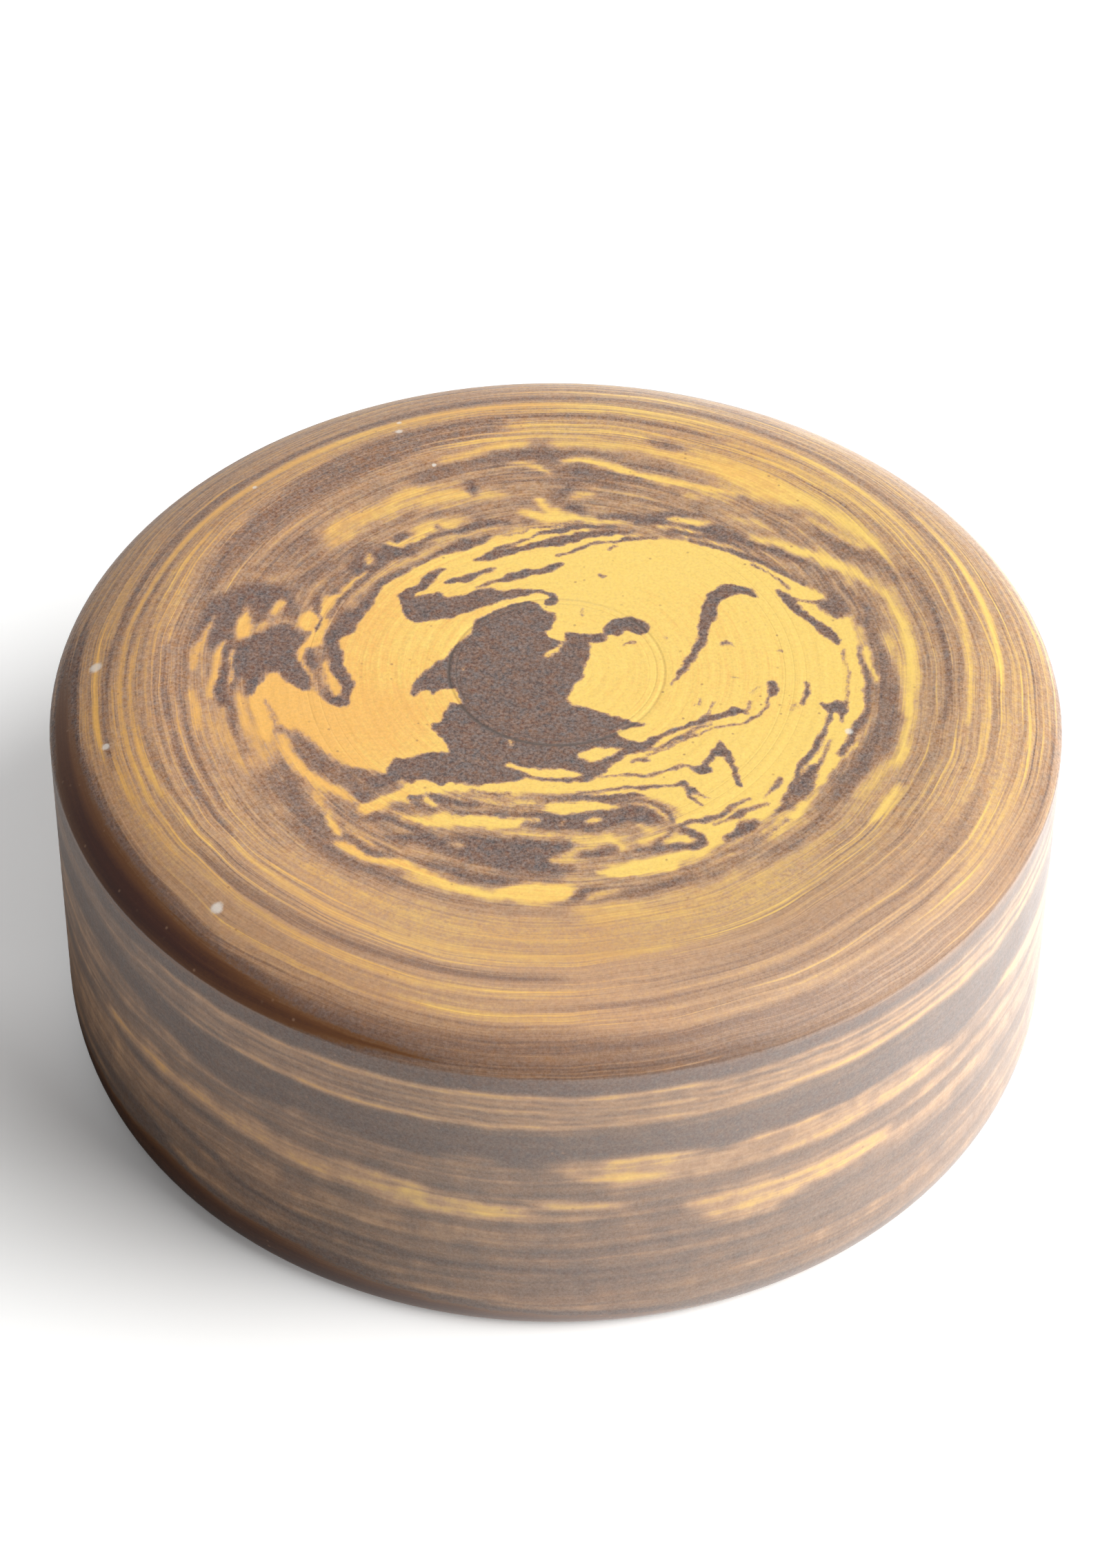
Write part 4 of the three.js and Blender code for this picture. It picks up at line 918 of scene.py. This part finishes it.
lidFinish = {
    # share of dark clay, and the colour of the mix
    "mixes": [
        (0.0, (0.870, 0.588, 0.136)),  # ochre
        (0.2, (0.655, 0.405, 0.128)),  # its stained edge
        (0.4, (0.460, 0.270, 0.138)),  # tan
        (0.7, (0.250, 0.140, 0.080)),  # brown
        (1.0, (0.130, 0.074, 0.052)),  # dark
    ],
    # painted shade in dark rust browns, from where it begins to its deepest
    "paintedShadeColours": [(0.0, (0.22, 0.108, 0.04)), (0.4, (0.122, 0.043, 0.008)), (1.0, (0.042, 0.008, 0.002))],
    "warmTintAndLeftShade": (0.93, 0.74, 0.72),  # multiplied in where the ochre drifts to orange, and as painted shade towards the left
    "coolTint": (0.97, 1.08, 1.13),  # multiplied in where the wall's clay is dark
    # added to the dark clay's colour at the peaks of the noise of the same name, and taken away in its dips
    "grains": {"paleGrains": (0.27, 0.235, 0.215), "rustyGrains": (0.1, 0.0, -0.05)},
    "darkest": (0.02, 0.008, 0.002),
    "fleckOnOchre": (0.3, 0.13, 0.045),
    "fleckOnDark": (0.34, 0.2, 0.12),
    # painted shade in the turned grooves
    "grooveShade": (0.05, 0.03, 0.02),
    "scuff": (0.86, 0.82, 0.76),
    "scuffShare": 0.62,
    # how often each kind of streak changes round the piece, and in a millimetre down the section:
    # wide, medium, thin, short and upright
    "streaks": [(0.9, 0.31), (1.5, 0.85), (2.6, 2.0), (9.0, 0.5), (27.0, 0.12)],
    # scale, detail and roughness of each noise in space
    "noises": {
        "drift": (14.0, 2.0, 0.55), "wander": (22.0, 2.0, 0.55), "shine": (60.0, 3.0, 0.55),
        "hanging": (130.0, 4.0, 0.6), "kneaded": (260.0, 4.0, 0.6), "ragged": (500.0, 4.0, 0.7),
        "rustyGrains": (520.0, 3.0, 0.7), "grain": (1250.0, 3.0, 0.8), "paleGrains": (1300.0, 2.0, 0.9),
    },
    "fleckScale": 420.0,
    # how far each noise moves the boundary of the clays where the mottle is least and most
    "boundary": {"ragged": (0.18, 0.12), "grain": (0.42, 0.14)},
    # distances down the section where each begins and is full
    "turnedRing": (76.0, 96.0), "wall": (124.0, 134.0),
    "shoulderBegins": (108.0, 116.0), "shoulderEnds": (133.0, 127.0),
    # added to the tone on the shoulder, so that the painted shade comes sooner there
    "shoulderShadeLift": 0.22,
    "paintedShadeTones": (1.04, 1.32),  # tones in the drawing where the painted shade begins to cover the dark clay, and covers it
    "roughness": 0.4,
    "refraction": 1.72,
    "reliefDepth": 0.06,
    # radius, half width and depth
    "grooves": [
        (26.5, 0.8, 1.0), (24.7, 0.4, 0.6), (22.9, 0.3, 0.2),
        (56.2, 0.3, 0.3), (58.6, 0.3, 0.35), (61.4, 0.35, 0.3),
    ],
    # pale scuffs: X, Y, Z and size
    "scuffs": [
        (-41.7, 96.8, 100.2, 1.0), (-41.7, 92.2, 101, 1.3), (-32, 78.3, 101, 0.8), (-78, 70, 99.6, 0.9),
        (-78.5, -79, 98, 2.0), (71, -21, 101, 1.3), (-109, -25, 98, 1.4), (-114, 4, 97.5, 2.2),
    ],
    "seed": 0.0,
}
bowlFinish = dict(lidFinish, roughness=0.34, grooves=[(30.2, 0.5, 0.6)], scuffs=[], seed=7.0)


def feed(tree, value, socket):
    # a socket takes another node's output or a plain value, and a colour without its fourth number gets 1
    if isinstance(value, bpy.types.NodeSocket):
        tree.links.new(value, socket)
    elif socket.type == "RGBA":
        socket.default_value = (*value[:3], 1)
    else:
        socket.default_value = value


def addNode(tree, kind, inputs=None, **settings):
    node = tree.nodes.new(kind)
    for name, value in settings.items():
        setattr(node, name, value)
    for name, value in (inputs or {}).items():
        feed(tree, value, node.inputs[name])
    return node


def maths(tree, operation, *values):
    return addNode(tree, "ShaderNodeMath", dict(enumerate(values)), operation=operation).outputs[0]


def times(tree, first, *others):
    # the product of them all
    for other in others:
        first = maths(tree, "MULTIPLY", first, other)
    return first


def lessThanOne(tree, value):
    # what is left of 1
    return maths(tree, "SUBTRACT", 1.0, value)


def weighted(tree, terms, start=0.0):
    # the start plus each value times its weight
    for value, weight in terms:
        start = maths(tree, "MULTIPLY_ADD", value, weight, start)
    return start


def vectors(tree, operation, inputs):
    return addNode(tree, "ShaderNodeVectorMath", inputs, operation=operation).outputs


def between(tree, value, fromLow, fromHigh, toLow=0.0, toHigh=1.0, kind="SMOOTHSTEP"):
    inputs = {"Value": value, "From Min": fromLow, "From Max": fromHigh, "To Min": toLow, "To Max": toHigh}
    return addNode(tree, "ShaderNodeMapRange", inputs, interpolation_type=kind).outputs[0]


def noise(tree, vector, scale, detail, roughness):
    # from -1 to 1, and 0 on average
    node = addNode(tree, "ShaderNodeTexNoise", {
        "Vector": vector, "Scale": scale, "Detail": detail, "Roughness": roughness})
    return weighted(tree, [(node.outputs["Fac"], 2.0)], -1.0)


def blendColour(tree, share, first, second, kind="MIX"):
    node = addNode(tree, "ShaderNodeMix", data_type="RGBA", blend_type=kind)
    sockets = {socket.identifier: socket for socket in node.inputs}
    for identifier, value in (("Factor_Float", share), ("A_Color", first), ("B_Color", second)):
        feed(tree, value, sockets[identifier])
    return {socket.identifier: socket for socket in node.outputs}["Result_Color"]


def colourRamp(tree, value, stops):
    # the first stop stands at 0 and the last at 1
    ramp = addNode(tree, "ShaderNodeValToRGB", {"Fac": value})
    elements = ramp.color_ramp.elements
    elements[0].color = (*stops[0][1], 1)
    elements[1].color = (*stops[-1][1], 1)
    for position, colour in stops[1:-1]:
        elements.new(position).color = (*colour, 1)
    return ramp.outputs["Color"]


def newMaterial(name):
    material = bpy.data.materials.new(name)
    material.use_nodes = True
    return material, material.node_tree, material.node_tree.nodes["Principled BSDF"]


def marbledClay(name, finish):
    material, tree, shader = newMaterial(name)
    place = addNode(tree, "ShaderNodeTexCoord").outputs["Object"]
    clay, mottle, along = (
        addNode(tree, "ShaderNodeAttribute", attribute_name=attribute).outputs["Fac"]
        for attribute in ("clay", "mottle", "along"))
    parts = addNode(tree, "ShaderNodeSeparateXYZ", {"Vector": place}).outputs
    flat = addNode(tree, "ShaderNodeCombineXYZ", {"X": parts["X"], "Y": parts["Y"], "Z": 0.0}).outputs[0]
    around = vectors(tree, "NORMALIZE", {0: flat})[0]
    around = addNode(tree, "ShaderNodeSeparateXYZ", {"Vector": around}).outputs

    def stretched(roundTimes, downTimes, down, start=0.0):
        # coordinates for noise that is long round the axis and short down the section
        vector = {axis: times(tree, around[axis], roundTimes) for axis in "XY"}
        vector["Z"] = weighted(tree, [(down, downTimes)], start)
        return addNode(tree, "ShaderNodeCombineXYZ", vector).outputs[0]

    noises = {name: noise(tree, place, *settings) for name, settings in finish["noises"].items()}
    ragged, grain = noises["ragged"], noises["grain"]
    wandering = weighted(tree, [(noises["wander"], 2.6)], along)
    wide, medium, thin, short, upright = (
        noise(tree, stretched(roundTimes, downTimes, wandering, finish["seed"]), 1.0, 2.0, 0.55)
        for roundTimes, downTimes in finish["streaks"])
    # the churned top is kneaded, on the turned ring some streaks are thin clean lines, and the wall is softer
    kneaded = weighted(tree, [(medium, 0.8), (thin, 0.5), (short, 0.7), (noises["kneaded"], 0.35)])
    drawnOut = weighted(tree, [
        (wide, 0.22), (thin, 0.7),
        (between(tree, medium, 0.14, 0.42), -0.6), (between(tree, medium, -0.14, -0.42), 0.4)])
    hanging = weighted(tree, [(wide, 0.8), (upright, 0.1), (short, 0.2), (noises["hanging"], 0.5)])
    turnedRing = between(tree, along, *finish["turnedRing"])
    wall = between(tree, along, *finish["wall"])
    mix = between(tree, turnedRing, 0.0, 1.0, kneaded, drawnOut, "LINEAR")
    mix = between(tree, wall, 0.0, 1.0, mix, hanging, "LINEAR")

    # the boundary is ragged by a fraction of a millimetre and breaks up into grains, less so at the front
    calm = between(tree, weighted(tree, [(parts["Y"], -1 / millimetre)], along), 130.0, 190.0, 1.0, 0.4)
    raw = weighted(tree, [(mix, mottle)], clay)
    for name, (least, most) in finish["boundary"].items():
        moved = times(tree, between(tree, mottle, 0.05, 0.35, least, most), calm)
        raw = weighted(tree, [(noises[name], moved)], raw)
    # churned clay blends softly, and clay drawn out on the wheel more softly still
    spread = between(tree, turnedRing, 0.0, 1.0, maths(tree, "ADD", mottle, 0.16), 0.42, "LINEAR")
    coverage = between(tree, raw, maths(tree, "SUBTRACT", 0.5, spread), maths(tree, "ADD", 0.5, spread))
    colour = colourRamp(tree, coverage, finish["mixes"])

    # painted shade: where the drawing goes past the dark clay, and sooner on the shoulder, the colour is a
    # dark rust brown
    shoulder = times(
        tree, between(tree, along, *finish["shoulderBegins"], 0.0, finish["shoulderShadeLift"]),
        between(tree, along, *finish["shoulderEnds"]))
    paintedShadeTone = weighted(tree, [(thin, 0.25), (grain, 0.3)], maths(tree, "ADD", clay, shoulder))
    paintedShadeShare = between(tree, paintedShadeTone, *finish["paintedShadeTones"])
    notPaintedShade = lessThanOne(tree, paintedShadeShare)
    paintedShadeColour = colourRamp(tree, between(tree, paintedShadeTone, 1.0, 2.0, kind="LINEAR"), finish["paintedShadeColours"])
    colour = blendColour(tree, paintedShadeShare, colour, paintedShadeColour)
    # slow drifts of colour, mostly in the ochre, and painted shade: warmer and darker towards the left
    drift = weighted(tree, [(parts["X"], -5.0), (thin, 0.5), (ragged, 0.5)], noises["drift"])
    share = times(tree, between(tree, drift, -0.35, 0.5), between(tree, coverage, 0.0, 0.5, 1.0, 0.25))
    colour = blendColour(tree, share, colour, blendColour(tree, 1.0, colour, finish["warmTintAndLeftShade"], "MULTIPLY"))
    # the dark clay of the wall is a cooler grey
    share = times(tree, wall, between(tree, coverage, 0.45, 1.0), notPaintedShade)
    colour = blendColour(tree, share, colour, blendColour(tree, 1.0, colour, finish["coolTint"], "MULTIPLY"))
    shade = weighted(tree, [(times(tree, grain, calm), 0.26)], 1.0)
    colour = vectors(tree, "SCALE", {0: colour, "Scale": shade})[0]
    # the dark clay is full of pale and rusty grains
    share = times(tree, between(tree, coverage, 0.0, 0.6, 0.22, 1.0), calm, notPaintedShade)
    for name, tint in finish["grains"].items():
        grains = vectors(tree, "SCALE", {0: tint, "Scale": times(tree, noises[name], share)})[0]
        colour = vectors(tree, "ADD", {0: colour, 1: grains})[0]
    colour = vectors(tree, "MAXIMUM", {0: colour, 1: finish["darkest"]})[0]
    # iron flecks, one in some of the cells
    cells = addNode(tree, "ShaderNodeTexVoronoi", {
        "Vector": place, "Scale": finish["fleckScale"], "Randomness": 1.0}).outputs
    chance = addNode(tree, "ShaderNodeSeparateColor", {"Color": cells["Color"]}).outputs["Red"]
    fleck = times(tree, between(tree, cells["Distance"], 0.22, 0.08), between(tree, chance, 0.7, 1.0))
    for tint, shown in (
            ("fleckOnOchre", between(tree, coverage, 0.5, 0.2, 0.0, 0.7)),
            ("fleckOnDark", between(tree, coverage, 0.6, 0.9, 0.0, 0.4))):
        colour = blendColour(tree, times(tree, fleck, shown), colour, finish[tint])

    # the turned grooves round the middle, with painted shade along them, most on the dark clay
    grooved = 0.0
    for radius, half, depth in finish["grooves"]:
        away = maths(tree, "ABSOLUTE", maths(tree, "SUBTRACT", along, radius))
        grooved = maths(tree, "MAXIMUM", between(tree, away, half, 0.0, 0.0, depth), grooved)
    grooveShade = times(tree, grooved, weighted(tree, [(coverage, 0.75)], 0.12))
    colour = blendColour(tree, grooveShade, colour, finish["grooveShade"])

    # scuffs on the wax, each a small pale blot with a ragged edge
    worn = 0.0
    for *spot, size in finish["scuffs"]:
        away = vectors(tree, "DISTANCE", {0: place, 1: [number * millimetre for number in spot]})["Value"]
        away = weighted(tree, [(ragged, 0.7 * millimetre)], away)
        worn = maths(tree, "MAXIMUM", between(tree, away, size * millimetre, 0.45 * size * millimetre), worn)
    if finish["scuffs"]:
        colour = blendColour(tree, times(tree, worn, finish["scuffShare"]), colour, finish["scuff"])
    feed(tree, colour, shader.inputs["Base Color"])

    # satin from burnishing, a little rougher where the clay is mixed and smoother under the painted shade
    shine = weighted(tree, [
        (noises["shine"], 0.06), (grain, 0.04), (coverage, 0.05), (paintedShadeShare, -0.14)], finish["roughness"])
    feed(tree, shine, shader.inputs["Roughness"])
    shader.inputs["IOR"].default_value = finish["refraction"]

    # relief: turning lines, trimming grooves, grain
    lines = noise(tree, stretched(0.8, 1.7, along), 1.0, 2.0, 0.6)
    relief = weighted(tree, [(lines, 0.28), (grain, 0.16), (ragged, 0.2), (fleck, -0.4), (grooved, -1.2)])
    bump = addNode(tree, "ShaderNodeBump", {
        "Height": relief, "Strength": 1.0, "Distance": finish["reliefDepth"] * millimetre})
    feed(tree, bump.outputs["Normal"], shader.inputs["Normal"])
    return material


marbledLid.data.materials.append(marbledClay("burnishedMarbledClay", lidFinish))
marbledBowl.data.materials.append(marbledClay("innerMarbledClay", bowlFinish))
print("clay finished")


# Floor, light and camera, in metres

studio = {
    "floorHalf": 4.0,
    "floorCells": 8,
    "floorTone": (0.915, 0.94), "floorBlue": 0.995,
    "floorRoughness": 0.7,
    "floorGlow": 0.22,  # added where the camera sees the floor, to keep it as pale as the backdrop
    "paintedShadowBeside": -0.16,  # painted shadow, added to that beside the lid at the left
    "paintedLightBehind": 0.08,  # and painted light at the left behind it
    "mirroredGlow": 2.2,  # painted reflection: glow added at the right that only the gloss sees, so the lid's wall mirrors a brighter floor there
    "mirroredShade": 0.9,  # taken away at the left in the same way
    # where each of these begins and is full: X across, Y back, or distance from the middle
    "zones": {
        "besideAcross": (-0.03, -0.09), "besideBack": (-0.15, -0.09), "behindBack": (-0.075, 0.0),
        "glowAcross": (-0.12, 0.24), "shadeAcross": (0.02, -0.08), "shadeAway": (0.185, 0.14),
        "shadeBack": (0.05, -0.03), "farLeftAcross": (-0.3, -0.6),
    },
    "skyLight": 0.18,
    # where the gloss mirrors a dimmer room: direction, and its cosines where the dimness begins and is full
    "dimSides": [((0.0, -0.72, 0.69), 0.6, 0.98), ((-0.86, -0.5, 0.1), -0.3, 0.5)],
    "dimmest": 0.05,
    "ceiling": 3.2,  # how many times brighter the gloss sees the air overhead
    "ceilingBegins": 0.7, "ceilingFull": 0.95,
    "lamps": [
        # strength, softness in degrees, azimuth it comes from, height above the horizon, colour,
        # and whether the gloss shows it
        (2.6, 50, -12, 41, (1.0, 1.0, 0.99), False),
        (1.2, 50, -12, 41, (1.0, 1.0, 0.99), True),
        (1.0, 120, -34, 16, (1.0, 1.0, 1.0), False),
    ],
}


def makeFloor(settings):
    # a flat grid, made of two crossed runs of evenly spaced values
    cells = settings["floorCells"]
    steps = np.linspace(-settings["floorHalf"], settings["floorHalf"], cells + 1)
    x, y = np.meshgrid(steps, steps)
    corner = (np.arange(cells)[:, None] * (cells + 1) + np.arange(cells)[None, :]).ravel()
    faces = np.column_stack([corner, corner + 1, corner + cells + 2, corner + cells + 1])
    mesh = bpy.data.meshes.new("paleFloor")
    mesh.from_pydata(np.column_stack([x.ravel(), y.ravel(), np.zeros(x.size)]).tolist(), [], faces.tolist())
    floor = bpy.data.objects.new("paleFloor", mesh)
    bpy.context.collection.objects.link(floor)

    material, tree, shader = newMaterial("paleTable")
    place = addNode(tree, "ShaderNodeTexCoord").outputs["Object"]
    parts = addNode(tree, "ShaderNodeSeparateXYZ", {"Vector": place}).outputs
    across, back = parts["X"], parts["Y"]
    away = vectors(tree, "LENGTH", {0: place})["Value"]
    ray = addNode(tree, "ShaderNodeLightPath").outputs
    zones = settings["zones"]
    shade = between(tree, noise(tree, place, 30.0, 3.0, 0.55), -1.0, 1.0, *settings["floorTone"], "LINEAR")
    # in the gloss it is darker round the lid's front left, and far out at the left
    besideShade = times(
        tree, between(tree, across, *zones["shadeAcross"]), between(tree, away, *zones["shadeAway"]),
        between(tree, back, *zones["shadeBack"]))
    leftShade = maths(tree, "MAXIMUM", besideShade, between(tree, across, *zones["farLeftAcross"]))
    leftShade = times(tree, ray["Is Glossy Ray"], leftShade, settings["mirroredShade"])
    shade = times(tree, shade, lessThanOne(tree, leftShade))
    colour = {"Red": shade, "Green": shade, "Blue": times(tree, shade, settings["floorBlue"])}
    feed(tree, addNode(tree, "ShaderNodeCombineColor", colour).outputs[0], shader.inputs["Base Color"])
    shader.inputs["Roughness"].default_value = settings["floorRoughness"]
    shader.inputs["Emission Color"].default_value = (1, 1, 1, 1)
    # painted shadow: the camera sees it a little darker beside the lid at the left, and painted light makes
    # it paler behind that
    atLeft = times(
        tree, between(tree, across, *zones["besideAcross"]), between(tree, back, *zones["besideBack"]))
    seenGlowAndPaintedShadow = between(tree, back, *zones["behindBack"], settings["paintedShadowBeside"], settings["paintedLightBehind"])
    seenGlowAndPaintedShadow = weighted(tree, [(atLeft, seenGlowAndPaintedShadow)], settings["floorGlow"])
    # painted reflection: a glow at the right that only the gloss sees
    rightGlow = between(tree, across, *zones["glowAcross"], 0.0, settings["mirroredGlow"])
    glow = weighted(tree, [(ray["Is Camera Ray"], seenGlowAndPaintedShadow), (ray["Is Glossy Ray"], rightGlow)])
    feed(tree, glow, shader.inputs["Emission Strength"])
    mesh.materials.append(material)


def makeSky(settings):
    # white where it is seen or mirrored, and a plain level of light on the object
    world = bpy.data.worlds.new("studioAir")
    bpy.context.scene.world = world
    world.use_nodes = True
    tree = world.node_tree
    tree.nodes.clear()
    ray = addNode(tree, "ShaderNodeLightPath").outputs
    seen = maths(tree, "MAXIMUM", ray["Is Camera Ray"], ray["Is Glossy Ray"])
    seen = maths(tree, "MAXIMUM", seen, ray["Is Transmission Ray"])
    # only the gloss shows that the room is dimmer behind the camera and to its left, and the ceiling brighter
    towards = addNode(tree, "ShaderNodeTexCoord").outputs["Generated"]
    overhead = addNode(tree, "ShaderNodeSeparateXYZ", {"Vector": towards}).outputs["Z"]
    level = between(
        tree, overhead, settings["ceilingBegins"], settings["ceilingFull"], 1.0, settings["ceiling"])
    for direction, begins, ends in settings["dimSides"]:
        facing = vectors(tree, "DOT_PRODUCT", {0: towards, 1: direction})["Value"]
        level = times(tree, level, between(tree, facing, begins, ends, 1.0, settings["dimmest"]))
    seen = maths(tree, "SUBTRACT", seen, times(tree, ray["Is Glossy Ray"], lessThanOne(tree, level)))
    strength = weighted(tree, [(seen, 1.0 - settings["skyLight"])], settings["skyLight"])
    air = addNode(tree, "ShaderNodeBackground", {"Color": (1.0, 1.0, 1.0), "Strength": strength})
    addNode(tree, "ShaderNodeOutputWorld", {"Surface": air.outputs[0]})


def makeLamps(settings):
    for number, (strength, softness, azimuth, height, colour, glossy) in enumerate(settings["lamps"]):
        lamp = bpy.data.lights.new("softLamp%d" % number, "SUN")
        lamp.energy = strength
        lamp.angle = math.radians(softness)
        lamp.color = colour
        holder = bpy.data.objects.new(lamp.name, lamp)
        bpy.context.collection.objects.link(holder)
        holder.rotation_euler = (math.radians(90 - height), 0, math.radians(azimuth + 90))
        holder.visible_glossy = glossy


# The camera stands in front and looks down at the lid, with the whole of its top in view
camera = {
    "distance": 1.01856, "elevation": 42.740,  # from the middle of the lid's top
    "pitch": 44.311, "yaw": 0.0861, "roll": 0.4335, "lens": 95.05,
}


def makeCamera(settings):
    # three crossed directions from the pitch and yaw, turned about the line of sight by the roll
    pitch, yaw, roll, elevation = (
        math.radians(settings[name]) for name in ("pitch", "yaw", "roll", "elevation"))
    forward = np.array([
        math.sin(yaw) * math.cos(pitch), math.cos(yaw) * math.cos(pitch), -math.sin(pitch)])
    right = np.cross(forward, (0, 0, 1))
    right /= np.linalg.norm(right)
    up = np.cross(right, forward)
    data = bpy.data.cameras.new("frontCamera")
    data.lens = settings["lens"]
    data.sensor_width = 36
    data.clip_end = 50
    holder = bpy.data.objects.new("frontCamera", data)
    bpy.context.collection.objects.link(holder)
    matrix = np.eye(4)
    matrix[:3, 0] = right * math.cos(roll) + up * math.sin(roll)
    matrix[:3, 1] = up * math.cos(roll) - right * math.sin(roll)
    matrix[:3, 2] = -forward
    matrix[1, 3] = -settings["distance"] * math.cos(elevation)
    matrix[2, 3] = lid["height"] * millimetre + settings["distance"] * math.sin(elevation)
    holder.matrix_world = [list(row) for row in matrix.T]
    bpy.context.scene.camera = holder


makeFloor(studio)
makeSky(studio)
makeLamps(studio)
makeCamera(camera)
bpy.context.scene.view_settings.view_transform = "Standard"
print("studio ready")
